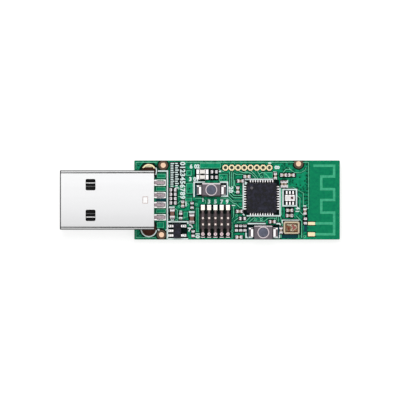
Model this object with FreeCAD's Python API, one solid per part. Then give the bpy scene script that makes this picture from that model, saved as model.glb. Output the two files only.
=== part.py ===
"""USB radio stick: a bare circuit board with a plug, a radio chip, two push buttons and a printed antenna.

Sizes are in millimetres. +X runs from the plug's mouth to the antenna, +Y across the board and +Z up
from the board's soldered underside to the pieces on it. The origin is in the middle of the stick's
outline, level with its lowest solder.
"""

import FreeCAD, Part
import math
import os

# Board
board_width = 16.0
board_thickness = 1.6
board_corner = 0.2
copper = 0.04               # step of the copper foil above the bare board
plane_margin = 0.5          # bare strip round the ground plane

# Floor plan: the board's length is the sum of these zones
plug_overlap = 4.0          # the board's reach under the plug
tail_zone = 2.8             # contact tails
supply_zone = 6.5           # regulator and its capacitors
header_zone = 6.9           # pin header, lamps and a switch
chip_zone = 9.0             # radio chip and a switch
balun_zone = 5.0            # balun filter and crystal
antenna_zone = 7.4

# Places of the larger pieces: from their zone's start, and from a long edge of the board to their middle
balun_offset = 2.3
balun_rise = 0.42           # above the board's centre line
crystal_offset = 2.62
crystal_edge = 2.4
regulator_offset = 1.9
regulator_edge = 1.78
header_offset = 3.12
header_edge = 3.71
lamp_offset = 0.49
lamp_edge = 2.28
switch_1_offset = 5.91
switch_1_edge = 1.45
switch_2_offset = 2.29
switch_2_edge = 5.95

# Places of the small parts: from their zone's start, and above the board's centre line
line_resistor_middle = (1.05, 0.73)
line_resistor_pitch = 0.88
supply_capacitor_1_place = (0.9, -2.75)
supply_capacitor_2_place = (4.85, -3.75)
supply_bypass_place = (3.0, -0.8)
pull_up_places = [(2.6, -3.2), (4.9, -1.1), (5.1, -6.8)]
lamp_resistor_place = (2.88, 5.7)
chip_bypass_lying_places = [(2.6, 4.75), (1.3, 3.85), (1.1, -2.3)]
chip_bypass_standing_places = [(0.75, 2.05), (8.35, 4.85)]
chip_supply_lying_places = [(10.05, 5.05), (11.6, 5.05)]
chip_supply_standing_places = [(9.75, 3.2), (10.4, 3.2)]
chip_bias_place = (1.7, -3.75)
port_resistor_place = (0.5, -5.7)
port_resistor_pitch = 0.85
port_resistor_count = 3
port_capacitor_place = (1.0, -7.5)
balun_capacitor_places = [(2.25, -2.1), (2.2, -3.15)]
crystal_capacitor_place = (0.5, -6.15)
match_capacitor_place = (0.35, -2.3)
match_resistor_place = (0.42, -4.25)
reset_capacitor_offset = 7.75
reset_capacitor_rise = 2.15  # above the middle of the first switch

# Plug shell, folded from one sheet
plug_length = 19.0
plug_width = 12.0
plug_height = 4.5
sheet = 0.3
plug_bend = 0.6             # outer radius of the folds
mouth_chamfer = 0.1
window_length = 2.0
window_width = 2.3
window_corner = 0.3
window_setback = 5.2        # from the mouth
window_spacing = 6.2
seam_gap = 0.06
dovetail_neck = 1.0
dovetail_head = 1.7
dovetail_depth = 0.9
dovetail_setback = 6.5      # from the mouth to the first one's middle
dovetail_spacing = 6.0
lug_width = 1.5
lug_setback = 1.06          # from the plug's back to the lug's middle
lug_tip = 0.25              # reach below the board
lug_tip_chamfer = 0.3
boss_length = 1.1           # pressed boss in the roof that locks the insulator
boss_width = 1.4
boss_depth = 0.1
boss_setback = 1.2          # from the plug's back
tail_notch = 1.2            # cut in the shell's floor where the tails come down
tail_notch_margin = 0.5

# Plug insulator
insulator_clearance = 0.03
tongue_height = 1.95
tongue_setback = 0.35       # from the mouth
tongue_chamfer = 0.25
mating_depth = 12.2         # from the mouth to the insulator's back block
block_setback = 0.9         # from the plug's back
peg_radius = 0.5
peg_clearance = 0.05
peg_spacing = 4.5
peg_setback = 2.9           # from the plug's back
peg_depth = 1.2             # reach into the board

# Plug contacts
contact_thickness = 0.25
contact_width = 1.0
contact_proud = 0.05        # above the tongue
contact_clearance = 0.03
contact_bend = 0.25
power_contact_offset = 3.5  # from the plug's centre line
data_contact_offset = 1.0
power_contact_setback = 1.1
data_contact_setback = 2.1
tail_width = 0.7
tail_reach = 2.15           # past the plug's back
tail_pad_width = 1.2

# Plated holes
lug_hole_radius = 1.15
lug_ring = 0.3              # width of the copper ring round the hole
lug_solder_spread = 0.175   # past the hole's wall, under the board
lug_solder_drop = 0.4       # below the board
lug_solder_rise = 0.6       # up inside the hole
lug_solder_flat = 0.55      # share of the mound's radius that is flat below
wire_hole_count = 8
wire_hole_radius = 0.35
wire_ring = 0.25
wire_hole_edge = 1.45       # from the board's edge
wire_row_offset = 2.7       # from the chip zone's start to the row's middle

# Alignment marks
mark_radius = 0.52
mark_margin = 0.45          # from the board's edge to a mark near the plug
mark_top_offset = 1.85      # from the plug's back
mark_bottom_offset = 1.5
mark_far_offset = 4.05      # from the balun zone's start
mark_far_inset = 0.676      # from the board's edge

# Printed antenna
antenna_track = 0.5
antenna_pad_length = 1.42
antenna_feed_pad = 0.6
antenna_ground_pad = 0.8
antenna_pad_start = 0.95    # from the antenna zone's start
antenna_tip_start = 2.05    # left end of the top arm
antenna_left = 3.4          # left edge of the folds
antenna_right = 6.5         # right edge of the folds
antenna_narrow_pitch = 2.19
antenna_wide_pitch = 2.56

# Radio chip
chip_size = 6.0
chip_height = 0.85
chip_chamfer = 0.05
chip_lands_per_side = 10
chip_land_pitch = 0.5
chip_land_width = 0.25
chip_land_length = 0.4
chip_land_height = 0.2
chip_slug = 4.5
chip_dimple_radius = 0.3
chip_dimple_depth = 0.05
chip_dimple_inset = 1.0
chip_pad_reach = 0.55       # past the chip's side
chip_offset = 5.57          # from the chip zone's start
chip_rise = 0.45            # above the board's centre line

# Balun filter
balun_length = 2.0
balun_width = 1.2
balun_height = 0.95
balun_pitch = 0.65
balun_terminal_width = 0.3
balun_terminal_wrap = 0.2
plating = 0.03
balun_pad_reach = 0.7

# Crystal
crystal_length = 3.2
crystal_width = 2.5
crystal_base_height = 0.5
crystal_corner_notch = 0.2
crystal_rim = 0.2           # bare ceramic round the seal ring
crystal_ring_width = 0.14
crystal_ring_height = 0.12
crystal_lid_height = 0.1
crystal_ring_corner = 0.24
crystal_pad_length = 1.1
crystal_pad_width = 0.9
crystal_pad_inset_x = 0.45  # from the base's end to the pad's middle
crystal_pad_inset_y = 0.35

# Regulator
regulator_length = 2.9
regulator_width = 1.6
regulator_height = 1.1
regulator_taper = 0.07
regulator_standoff = 0.08
regulator_lead_pitch = 0.95
regulator_lead_width = 0.4
regulator_lead_thickness = 0.15
regulator_lead_span = 2.9
regulator_lead_bend = 0.12
regulator_lead_root = 0.2   # inside the body
regulator_lead_heel = 0.25  # from the body to the bend
regulator_lead_slope = 0.08 # lean of the bend's leg
regulator_pad_length = 0.9
regulator_pad_inset = 0.1   # from the lead's toe to the pad's middle

# Pin header
pin_pitch = 1.27
pin_columns = 5
pin_size = 0.4
pin_height = 4.3
pin_foot_reach = 2.9        # from the header's centre line
pin_tip_chamfer = 0.1
pin_bend = 0.3
housing_width = 3.1
housing_height = 1.3
housing_clearance = 0.1     # above the pins' feet
housing_notch = 0.25
header_pad_width = 0.8
header_pad_inner = 1.55
header_pad_outer = 3.3

# Lamps (light-emitting diodes)
lamp_length = 1.6
lamp_width = 0.8
lamp_carrier_height = 0.25
lamp_lens_length = 1.15
lamp_lens_height = 0.35
lamp_lens_taper = 0.06
lamp_notch_radius = 0.2
lamp_count = 2
lamp_pitch = 1.09
lamp_pad_length = 0.8

# Push-button switches
cover_length = 3.65
cover_width = 2.75
cover_sheet = 0.15
cover_bend = 0.25
cover_skirt = 0.75
collar_width = 0.2
collar_height = 0.12
switch_base_length = 4.1
switch_base_height = 1.02
switch_fit = 0.02           # base inside the cover
cavity_floor = 0.3
plunger_radius = 0.93
plunger_clearance = 0.06
plunger_ear_length = 2.75
plunger_ear_width = 1.0
plunger_flange = 0.24
plunger_stand = 0.35        # above the collar at rest
plunger_edge = 0.08         # chamfer of its top edge
plunger_play = 0.04         # under the cover at rest
dome_radius = 0.95
dome_crown = 0.35           # radius of its flat top
dome_thickness = 0.06
dome_gap = 0.02             # between dome and plunger at rest
switch_terminal_span = 5.9
switch_terminal_step = 2.3  # from the switch's middle to the terminal's bend
switch_terminal_thickness = 0.12
switch_terminal_width = 1.75
switch_terminal_height = 0.45
switch_terminal_root = 0.45
switch_terminal_bend = 0.12
switch_pad_inner = 1.95
switch_pad_outer = 3.15

# Chip resistors and capacitors
small_length = 1.0
small_width = 0.5
small_resistor_height = 0.35
small_capacitor_height = 0.5
small_terminal = 0.25
large_length = 1.6
large_width = 0.8
large_height = 0.8
large_terminal = 0.35
terminal_proud = 0.02
pad_overhang = 0.2          # pad past each end of a part
pad_side = 0.05             # pad past each side of a part

# Derived places along X
board_length = (plug_overlap + tail_zone + supply_zone + header_zone
                + chip_zone + balun_zone + antenna_zone)
total_length = plug_length - plug_overlap + board_length
plug_mouth = -total_length / 2
plug_back = plug_mouth + plug_length
board_left = plug_back - plug_overlap
supply_start = plug_back + tail_zone
header_start = supply_start + supply_zone
chip_start = header_start + header_zone
balun_start = chip_start + chip_zone
antenna_start = balun_start + balun_zone
board_right = antenna_start + antenna_zone

# Derived places across Y
board_top_edge = board_width / 2
board_bottom_edge = -board_width / 2
switch_1_middle = board_bottom_edge + switch_1_edge

# Derived levels along Z
board_bottom = lug_solder_drop
board_top = board_bottom + board_thickness
pad_top = board_top + copper

# Derived places that more than one piece uses
lug_x = plug_back - lug_setback
lug_y = plug_width / 2 - sheet / 2
wire_y = board_top_edge - wire_hole_edge
wire_row_x = chip_start + wire_row_offset
peg_x = plug_back - peg_setback
floor_top = pad_top + sheet
roof_bottom = pad_top + plug_height - sheet
block_front = plug_mouth + mating_depth
block_back = plug_back - block_setback
contact_bottom = floor_top + tongue_height + contact_proud - contact_thickness
chip_x = chip_start + chip_offset
chip_y = chip_rise
contact_offsets = {
    "contact_power": power_contact_offset,
    "contact_data_minus": data_contact_offset,
    "contact_data_plus": -data_contact_offset,
    "contact_ground": -power_contact_offset,
}

pads = []


def block(x0, x1, y0, y1, z0, z1):
    """A box between two corners."""
    return Part.makeBox(x1 - x0, y1 - y0, z1 - z0, FreeCAD.Vector(x0, y0, z0))


def slab(x, y, length, width, z0, height):
    """A box by its middle in plan, its foot and its height."""
    return block(x - length / 2, x + length / 2, y - width / 2, y + width / 2, z0, z0 + height)


def rod(x, y, radius, z0, z1):
    """An upright cylinder."""
    return Part.makeCylinder(radius, z1 - z0, FreeCAD.Vector(x, y, z0))


def join(solids):
    """One solid from solids that touch or overlap."""
    return solids[0].multiFuse(solids[1:]).removeSplitter()


def group(solids):
    """Separate solids in one shape."""
    return Part.makeCompound(solids)


def edges_along(shape, axis):
    """The straight edges that run along an axis."""
    found = []
    for edge in shape.Edges:
        if len(edge.Vertexes) == 2:
            run = edge.Vertexes[1].Point - edge.Vertexes[0].Point
            if run.Length > 1e-6 and abs(abs(run.normalize().dot(axis)) - 1) < 1e-6:
                found.append(edge)
    return found


def edges_at_height(shape, z):
    """The edges that lie flat at one height."""
    return [
        edge for edge in shape.Edges
        if abs(edge.BoundBox.ZMin - z) < 1e-6 and abs(edge.BoundBox.ZMax - z) < 1e-6
    ]


def rounded_slab(x, y, length, width, z0, height, radius):
    """A slab with rounded upright corners."""
    plain = slab(x, y, length, width, z0, height)
    return plain.makeFillet(radius, edges_along(plain, FreeCAD.Vector(0, 0, 1)))


def bevelled_slab(x, y, length, width, z0, height, bevel):
    """A slab with bevelled upright corners."""
    plain = slab(x, y, length, width, z0, height)
    return plain.makeChamfer(bevel, edges_along(plain, FreeCAD.Vector(0, 0, 1)))


def bevelled_bar(length, width, z0, z1, bevel):
    """A bar along X, middle at X = 0, with bevelled long edges."""
    plain = block(-length / 2, length / 2, -width / 2, width / 2, z0, z1)
    return plain.makeChamfer(bevel, edges_along(plain, FreeCAD.Vector(1, 0, 0)))


def inner_bevel(bevel, wall):
    """The bevel that keeps a wall even, for a shape inset by that wall."""
    return bevel - wall * (2 - math.sqrt(2))


def rounded_bar(x0, x1, width, z0, z1, radius):
    """A bar along X with rounded long edges."""
    plain = block(x0, x1, -width / 2, width / 2, z0, z1)
    return plain.makeFillet(radius, edges_along(plain, FreeCAD.Vector(1, 0, 0)))


def tapered_slab(x, y, z0, length0, width0, z1, length1, width1):
    """A slab whose plan changes evenly from its foot to its top."""
    rims = []
    for z, length, width in ((z0, length0, width0), (z1, length1, width1)):
        corners = [
            FreeCAD.Vector(x + sx * length / 2, y + sy * width / 2, z)
            for sx, sy in ((-1, -1), (1, -1), (1, 1), (-1, 1), (-1, -1))
        ]
        rims.append(Part.makePolygon(corners))
    return Part.makeLoft(rims, True, True)


def bent_strip(points, bend_radius, thickness, width):
    """A strip or wire through points (x, z) in the plane Y = 0. Each bend is a short flat across its arc."""
    corners = [FreeCAD.Vector(x, 0, z) for x, z in points]
    path = corners[:1]
    for before, corner, after in zip(corners, corners[1:], corners[2:]):
        into = (corner - before).normalize()
        out = (after - corner).normalize()
        half_turn = into.getAngle(out) / 2
        reach = bend_radius * math.tan(half_turn / 2) / math.cos(half_turn)
        path += [corner - into * reach, corner + out * reach]
    path.append(corners[-1])
    along = (corners[1] - corners[0]).normalize()
    across = FreeCAD.Vector(0, width / 2, 0)
    up = FreeCAD.Vector(-along.z, 0, along.x) * (thickness / 2)
    sides = ((across, up), (-across, up), (-across, -up), (across, -up))
    rim = [corners[0] + side + rise for side, rise in sides]
    section = Part.makePolygon(rim + rim[:1])
    mitred = 1
    return Part.makePolygon(path).makePipeShell([section], True, False, mitred)


def placed(shape, x, y, z, quarter_turns=0):
    """A copy turned about Z by quarter turns and then moved."""
    copy = shape.copy()
    copy.rotate(FreeCAD.Vector(0, 0, 0), FreeCAD.Vector(0, 0, 1), 90 * quarter_turns)
    copy.translate(FreeCAD.Vector(x, y, z))
    return copy


def turned(x, y, outline):
    """A round shape from its half section: points (radius, z), the first and the last on the axis."""
    corners = [FreeCAD.Vector(radius, 0, z) for radius, z in outline]
    section = Part.Face(Part.makePolygon(corners + corners[:1]))
    whole = section.revolve(FreeCAD.Vector(0, 0, 0), FreeCAD.Vector(0, 0, 1), 360)
    return placed(whole, x, y, 0)


def add_pad(x, y, length, width):
    """A solder pad on the board."""
    pads.append(slab(x, y, length, width, board_top, copper))


# Plug

def seam_cut():
    """A thin wandering cut along the shell's floor, with two dovetails that lock the fold."""
    points = [(plug_mouth - 1, 0)]
    side = 1
    for number in range(2):
        middle = plug_mouth + dovetail_setback + number * dovetail_spacing
        reach = side * dovetail_depth
        points += [
            (middle - dovetail_neck / 2, 0),
            (middle - dovetail_head / 2, reach),
            (middle + dovetail_head / 2, reach),
            (middle + dovetail_neck / 2, 0),
        ]
        side = -side
    points.append((plug_back + 1, 0))
    cuts = []
    for (x0, y0), (x1, y1) in zip(points, points[1:]):
        run = math.hypot(x1 - x0, y1 - y0)
        turn = math.degrees(math.atan2(y1 - y0, x1 - x0))
        cut = slab(0, 0, run + seam_gap, seam_gap, pad_top - sheet, 3 * sheet)
        cut.rotate(FreeCAD.Vector(0, 0, 0), FreeCAD.Vector(0, 0, 1), turn)
        cut.translate(FreeCAD.Vector((x0 + x1) / 2, (y0 + y1) / 2, 0))
        cuts.append(cut)
    return join(cuts)


def windows():
    """The four windows, as two posts that pass through the roof and the floor."""
    middle = plug_mouth + window_setback + window_length / 2
    return [
        rounded_slab(middle, side * window_spacing / 2, window_length, window_width,
                     pad_top - 1, plug_height + 2, window_corner)
        for side in (-1, 1)
    ]


def lugs():
    """The two lugs that carry on from the shell's sides down through the board."""
    found = []
    for side in (-1, 1):
        lug = slab(lug_x, side * lug_y, lug_width, sheet, board_bottom - lug_tip,
                   pad_top + plug_bend - board_bottom + lug_tip)
        corners = [
            edge for edge in edges_along(lug, FreeCAD.Vector(0, 1, 0))
            if edge.BoundBox.ZMax < board_bottom
        ]
        found.append(lug.makeChamfer(lug_tip_chamfer, corners))
    return found


def pegs(radius, z0):
    """The insulator's two locating pegs, or with a larger radius the holes for them."""
    return [rod(peg_x, side * peg_spacing / 2, radius, z0, floor_top) for side in (-1, 1)]


def boss(x_clearance, depth):
    """The boss that the roof's pressed mark makes, from the roof's inner face down."""
    middle = plug_back - boss_setback - boss_length / 2
    return slab(middle, 0, boss_length + 2 * x_clearance, boss_width + 2 * x_clearance,
                roof_bottom - depth, depth)


def make_plug_shell():
    outside = rounded_bar(plug_mouth, plug_back, plug_width, pad_top, pad_top + plug_height, plug_bend)
    mouth_edges = [edge for edge in outside.Edges if edge.BoundBox.XMax < plug_mouth + 1e-6]
    outside = outside.makeChamfer(mouth_chamfer, mouth_edges)
    inside = rounded_bar(plug_mouth - 1, plug_back + 1, plug_width - 2 * sheet, floor_top, roof_bottom,
                         plug_bend - sheet)
    notch_half = power_contact_offset + tail_width / 2 + tail_notch_margin
    notch = block(plug_back - tail_notch, plug_back + 1, -notch_half, notch_half, pad_top - 1, floor_top)
    folded = join([outside.cut(inside)] + lugs() + [boss(0, boss_depth)])
    peg_holes = pegs(peg_radius + peg_clearance, pad_top - sheet)
    return folded.cut(windows() + peg_holes + [notch, seam_cut()])


def contact_grooves():
    """Grooves along the tongue and slots through the back block for the contacts."""
    grooves = []
    for name, offset in contact_offsets.items():
        front = contact_front(name) - contact_clearance
        grooves.append(block(front, plug_back, offset - contact_width / 2 - contact_clearance,
                             offset + contact_width / 2 + contact_clearance,
                             contact_bottom, contact_bottom + contact_thickness + contact_clearance))
    return grooves


def make_plug_insulator():
    fill = rounded_bar(plug_mouth + tongue_setback, block_back,
                       plug_width - 2 * sheet - 2 * insulator_clearance,
                       floor_top, roof_bottom - insulator_clearance, plug_bend - sheet)
    tongue_top = floor_top + tongue_height
    cavity = block(plug_mouth, block_front, -plug_width / 2, plug_width / 2, tongue_top, roof_bottom)
    body = fill.cut(cavity)
    lip = [
        edge for edge in edges_at_height(body, tongue_top)
        if edge.BoundBox.XMax < plug_mouth + tongue_setback + 1e-6
    ]
    body = body.makeChamfer(tongue_chamfer, lip)
    body = join([body] + pegs(peg_radius, board_top - peg_depth))
    return body.cut(contact_grooves() + [boss(insulator_clearance, boss_depth + insulator_clearance)])


def contact_front(name):
    if name in ("contact_power", "contact_ground"):
        return plug_mouth + power_contact_setback
    return plug_mouth + data_contact_setback


def make_contact(name):
    """A flat spring strip on the tongue that bends down behind the block and ends in a soldered tail."""
    offset = contact_offsets[name]
    front = contact_front(name)
    level = contact_bottom + contact_thickness / 2
    drop_x = block_back + contact_bend
    tail_end = plug_back + tail_reach
    strip = bent_strip(
        [(front, level), (drop_x, level), (drop_x, pad_top + contact_thickness / 2),
         (tail_end, pad_top + contact_thickness / 2)],
        contact_bend, contact_thickness, tail_width)
    blade = slab((front + block_back) / 2, 0, block_back - front - contact_bend, contact_width,
                 contact_bottom, contact_thickness)
    blade.translate(FreeCAD.Vector(-contact_bend / 2, 0, 0))
    add_pad((plug_back + tail_end) / 2, offset, tail_reach + 2 * pad_overhang, tail_pad_width)
    return placed(join([strip, blade]), 0, offset, 0)


def make_lug_solder():
    """Solder that rises inside each lug hole and bulges below the board round the lug's tip."""
    rim = lug_hole_radius + lug_solder_spread
    outline = [
        (0, board_bottom - lug_solder_drop),
        (rim * lug_solder_flat, board_bottom - lug_solder_drop),
        (rim, board_bottom),
        (lug_hole_radius, board_bottom),
        (lug_hole_radius, board_bottom + lug_solder_rise),
        (0, board_bottom + lug_solder_rise),
    ]
    return group([turned(lug_x, side * lug_y, outline).cut(lug) for side, lug in zip((-1, 1), lugs())])


# Board

def round_pad(x, y, radius):
    """A round copper pad that stands on the board's upper face and reaches into it."""
    return rod(x, y, radius, board_top - copper, board_top + copper)


def octagon_pad(x, y, radius):
    """The same with eight sides, as for a row of wire holes. The radius is to the middle of a side."""
    corner = radius / math.cos(math.pi / 8)
    corners = [
        FreeCAD.Vector(x + corner * math.cos(turn), y + corner * math.sin(turn), board_top - copper)
        for turn in (math.radians(22.5 + 45 * number) for number in range(8))
    ]
    outline = Part.makePolygon(corners + corners[:1])
    return Part.Face(outline).extrude(FreeCAD.Vector(0, 0, 2 * copper))


def wire_hole_places():
    first = wire_row_x - (wire_hole_count - 1) * pin_pitch / 2
    return [(first + number * pin_pitch, wire_y) for number in range(wire_hole_count)]


def lug_hole_places():
    return [(lug_x, side * lug_y) for side in (-1, 1)]


def make_circuit_board():
    """The board with its plated holes and, on its underside, the step of the ground plane under the mask."""
    middle = (board_left + board_right) / 2
    plate = rounded_slab(middle, 0, board_length, board_width, board_bottom, board_thickness, board_corner)
    plane_left = lug_x + lug_hole_radius + lug_ring + plane_margin
    plane_top = wire_y - wire_hole_radius - wire_ring - plane_margin / 2
    plane = block(plane_left, antenna_start, board_bottom_edge + plane_margin, plane_top,
                  board_bottom - copper, board_bottom)
    pads_above = [round_pad(x, y, lug_hole_radius + lug_ring) for x, y in lug_hole_places()]
    pads_above += [octagon_pad(x, y, wire_hole_radius + wire_ring) for x, y in wire_hole_places()]
    holes = [rod(x, y, lug_hole_radius, board_bottom - 1, board_top + 1) for x, y in lug_hole_places()]
    holes += [rod(x, y, wire_hole_radius, board_bottom - 1, board_top + 1) for x, y in wire_hole_places()]
    holes += pegs(peg_radius + peg_clearance, board_bottom - 1)
    return join([plate, plane] + pads_above).cut(holes)


def make_alignment_marks():
    near = mark_radius + mark_margin
    places = [
        (plug_back + mark_top_offset, board_top_edge - near),
        (plug_back + mark_bottom_offset, board_bottom_edge + near),
        (balun_start + mark_far_offset, board_top_edge - mark_far_inset),
    ]
    return group([rod(x, y, mark_radius, board_top, board_top + copper) for x, y in places])


def antenna_rows():
    """Heights of the antenna's arms from the top one down; the last two are the feed and the ground arm."""
    steps = [antenna_narrow_pitch, antenna_wide_pitch] * 2 + [antenna_narrow_pitch] * 2
    rows = [sum(steps) / 2]
    for step in steps:
        rows.append(rows[-1] - step)
    return rows


def make_antenna_track():
    """The folded antenna track, from the tip of its top arm down to the feed and ground arms."""
    rows = antenna_rows()
    half = antenna_track / 2
    left = antenna_start + antenna_left + half
    right = antenna_start + antenna_right - half
    pad_end = antenna_start + antenna_pad_start + antenna_pad_length
    arm_starts = [antenna_start + antenna_tip_start + half] + [left] * 4 + [pad_end + half] * 2
    arms = [block(start - half, right + half, row - half, row + half, board_top, board_top + copper)
            for start, row in zip(arm_starts, rows)]
    folds = [(right, 0, 1), (left, 1, 2), (right, 2, 3), (left, 3, 4), (right, 4, 6)]
    joins = [block(x - half, x + half, rows[lower] - half, rows[upper] + half, board_top, board_top + copper)
             for x, upper, lower in folds]
    return join(arms + joins)


def make_antenna_pads():
    """The bare pads where the feed and the ground join the antenna."""
    middle = antenna_start + antenna_pad_start + antenna_pad_length / 2
    rows = antenna_rows()
    return group([
        slab(middle, rows[-2], antenna_pad_length, antenna_feed_pad, board_top, copper),
        slab(middle, rows[-1], antenna_pad_length, antenna_ground_pad, board_top, copper),
    ])


# Radio chip

def chip_sides():
    """For each side of the chip: the outward direction and the number of quarter turns from +X."""
    return [(1, 0, 0), (0, 1, 1), (-1, 0, 2), (0, -1, 3)]


def make_chip():
    """The moulded body and its lands, which lie flush with its underside and its sides."""
    lands = [slab(chip_x, chip_y, chip_slug, chip_slug, pad_top, chip_land_height)]
    add_pad(chip_x, chip_y, chip_slug, chip_slug)
    first = -(chip_lands_per_side - 1) * chip_land_pitch / 2
    for out_x, out_y, turns in chip_sides():
        for number in range(chip_lands_per_side):
            along = first + number * chip_land_pitch
            land_out = (chip_size - chip_land_length) / 2
            x = chip_x + out_x * land_out - out_y * along
            y = chip_y + out_y * land_out + out_x * along
            lands.append(placed(slab(0, 0, chip_land_length, chip_land_width, 0, chip_land_height),
                                x, y, pad_top, turns))
            pad_out = chip_size / 2 + (chip_pad_reach - chip_land_length) / 2
            pad = slab(0, 0, chip_land_length + chip_pad_reach, chip_land_width, 0, copper)
            pads.append(placed(pad, chip_x + out_x * pad_out - out_y * along,
                               chip_y + out_y * pad_out + out_x * along, board_top, turns))
    body = slab(chip_x, chip_y, chip_size, chip_size, pad_top, chip_height)
    top = pad_top + chip_height
    body = body.makeChamfer(chip_chamfer, edges_at_height(body, top))
    dimple = rod(chip_x - chip_size / 2 + chip_dimple_inset, chip_y + chip_size / 2 - chip_dimple_inset,
                 chip_dimple_radius, top - chip_dimple_depth, top + 1)
    return body.cut(lands + [dimple]), group(lands)


# Balun filter

def make_balun(x, y):
    """A ceramic block with six plated terminals that wrap from its sides over its top."""
    body = slab(x, y, balun_length, balun_width, pad_top, balun_height)
    terminals = []
    for side in (-1, 1):
        for number in (-1, 0, 1):
            place = x + number * balun_pitch
            face = y + side * (balun_width + plating) / 2
            upright = slab(place, face, balun_terminal_width, plating, pad_top, balun_height + plating)
            over = slab(place, y + side * (balun_width - balun_terminal_wrap) / 2, balun_terminal_width,
                        balun_terminal_wrap, pad_top + balun_height, plating)
            terminals.append(join([upright, over]))
            add_pad(place, y + side * (balun_width + balun_pad_reach) / 2,
                    balun_terminal_width, balun_pad_reach + pad_overhang)
    return body, group(terminals)


# Crystal

def make_crystal(x, y):
    """A ceramic base with notched corners, a seal ring and a flat lid."""
    base = slab(x, y, crystal_length, crystal_width, pad_top, crystal_base_height)
    notches = []
    for side_x in (-1, 1):
        for side_y in (-1, 1):
            notches.append(rod(x + side_x * crystal_length / 2, y + side_y * crystal_width / 2,
                               crystal_corner_notch, pad_top - 1, pad_top + 2))
            add_pad(x + side_x * (crystal_length / 2 - crystal_pad_inset_x),
                    y + side_y * (crystal_width / 2 - crystal_pad_inset_y),
                    crystal_pad_length, crystal_pad_width)
    base = base.cut(notches)
    ring_foot = pad_top + crystal_base_height
    ring_length = crystal_length - 2 * crystal_rim
    ring_breadth = crystal_width - 2 * crystal_rim
    lid_length = ring_length - 2 * crystal_ring_width
    lid_breadth = ring_breadth - 2 * crystal_ring_width
    ring = bevelled_slab(x, y, ring_length, ring_breadth, ring_foot, crystal_ring_height, crystal_ring_corner)
    lid = bevelled_slab(x, y, lid_length, lid_breadth, ring_foot, crystal_ring_height + crystal_lid_height,
                        inner_bevel(crystal_ring_corner, crystal_ring_width))
    return base, ring.cut(lid), lid


# Regulator

def make_regulator(x, y):
    """A moulded body, tapered from its parting line, with three leads on its left and two on its right."""
    foot = pad_top + regulator_standoff
    top = pad_top + regulator_height
    parting = (foot + top) / 2
    narrow_width = regulator_width - 2 * regulator_taper
    narrow_length = regulator_length - 2 * regulator_taper
    lower = tapered_slab(x, y, foot, narrow_width, narrow_length, parting, regulator_width, regulator_length)
    upper = tapered_slab(x, y, parting, regulator_width, regulator_length, top, narrow_width, narrow_length)
    toe = regulator_lead_span / 2
    heel = regulator_width / 2 + regulator_lead_heel
    foot_level = regulator_lead_thickness / 2
    shape = bent_strip(
        [(regulator_width / 2 - regulator_lead_root, parting - pad_top), (heel, parting - pad_top),
         (heel + regulator_lead_slope, foot_level), (toe, foot_level)],
        regulator_lead_bend, regulator_lead_thickness, regulator_lead_width)
    leads = []
    for quarter_turns, rows in ((2, (-1, 0, 1)), (0, (-1, 1))):
        side = 1 if quarter_turns == 0 else -1
        for row in rows:
            row_y = y + row * regulator_lead_pitch
            leads.append(placed(shape, x, row_y, pad_top, quarter_turns))
            add_pad(x + side * (toe - regulator_pad_inset), row_y,
                    regulator_pad_length, regulator_lead_width + 2 * pad_side)
    return join([lower, upper]).cut(leads), group(leads)


# Pin header

def make_pin_header(x, y):
    """A housing with a notch between its positions, and square pins bent outwards into soldered feet."""
    foot_level = pin_size / 2
    pin = bent_strip(
        [(pin_pitch / 2, pin_height), (pin_pitch / 2, foot_level), (pin_foot_reach, foot_level)],
        pin_bend, pin_size, pin_size)
    pin = pin.makeChamfer(pin_tip_chamfer, edges_at_height(pin, pin_height))
    pins = []
    for column in range(pin_columns):
        column_x = x + (column - (pin_columns - 1) / 2) * pin_pitch
        for side, quarter_turns in ((1, 1), (-1, 3)):
            pins.append(placed(pin, column_x, y, pad_top, quarter_turns))
            add_pad(column_x, y + side * (header_pad_inner + header_pad_outer) / 2,
                    header_pad_width, header_pad_outer - header_pad_inner)
    housing_foot = pad_top + pin_size + housing_clearance
    housing = slab(x, y, pin_columns * pin_pitch, housing_width, housing_foot, housing_height)
    notches = []
    for number in range(pin_columns + 1):
        notch_x = x + (number - pin_columns / 2) * pin_pitch
        for side in (-1, 1):
            notch = slab(0, 0, housing_notch, housing_notch, housing_foot - 1, housing_height + 2)
            notch.rotate(FreeCAD.Vector(0, 0, 0), FreeCAD.Vector(0, 0, 1), 45)
            notches.append(placed(notch, notch_x, y + side * housing_width / 2, 0))
    return housing.cut(notches + pins), group(pins)


# Lamps

def make_lamp(x, y):
    """A carrier with a round notch in each end, and a lens moulded on it."""
    carrier = slab(x, y, lamp_length, lamp_width, pad_top, lamp_carrier_height)
    notches = []
    for side in (-1, 1):
        notches.append(rod(x + side * lamp_length / 2, y, lamp_notch_radius, pad_top - 1, pad_top + 1))
        add_pad(x + side * (lamp_length / 2), y, lamp_pad_length, lamp_width + 2 * pad_side)
    lens = tapered_slab(x, y, pad_top + lamp_carrier_height, lamp_lens_length, lamp_width,
                        pad_top + lamp_carrier_height + lamp_lens_height,
                        lamp_lens_length - 2 * lamp_lens_taper, lamp_width - 2 * lamp_lens_taper)
    return carrier.cut(notches), lens


# Push-button switches

plunger_hole_radius = plunger_radius + plunger_clearance
cover_underside = switch_base_height
collar_top = cover_underside + cover_sheet + collar_height
plunger_top = collar_top + plunger_stand
flange_top = cover_underside - plunger_play
flange_foot = flange_top - plunger_flange
dome_height = flange_foot - dome_gap - cavity_floor


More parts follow.
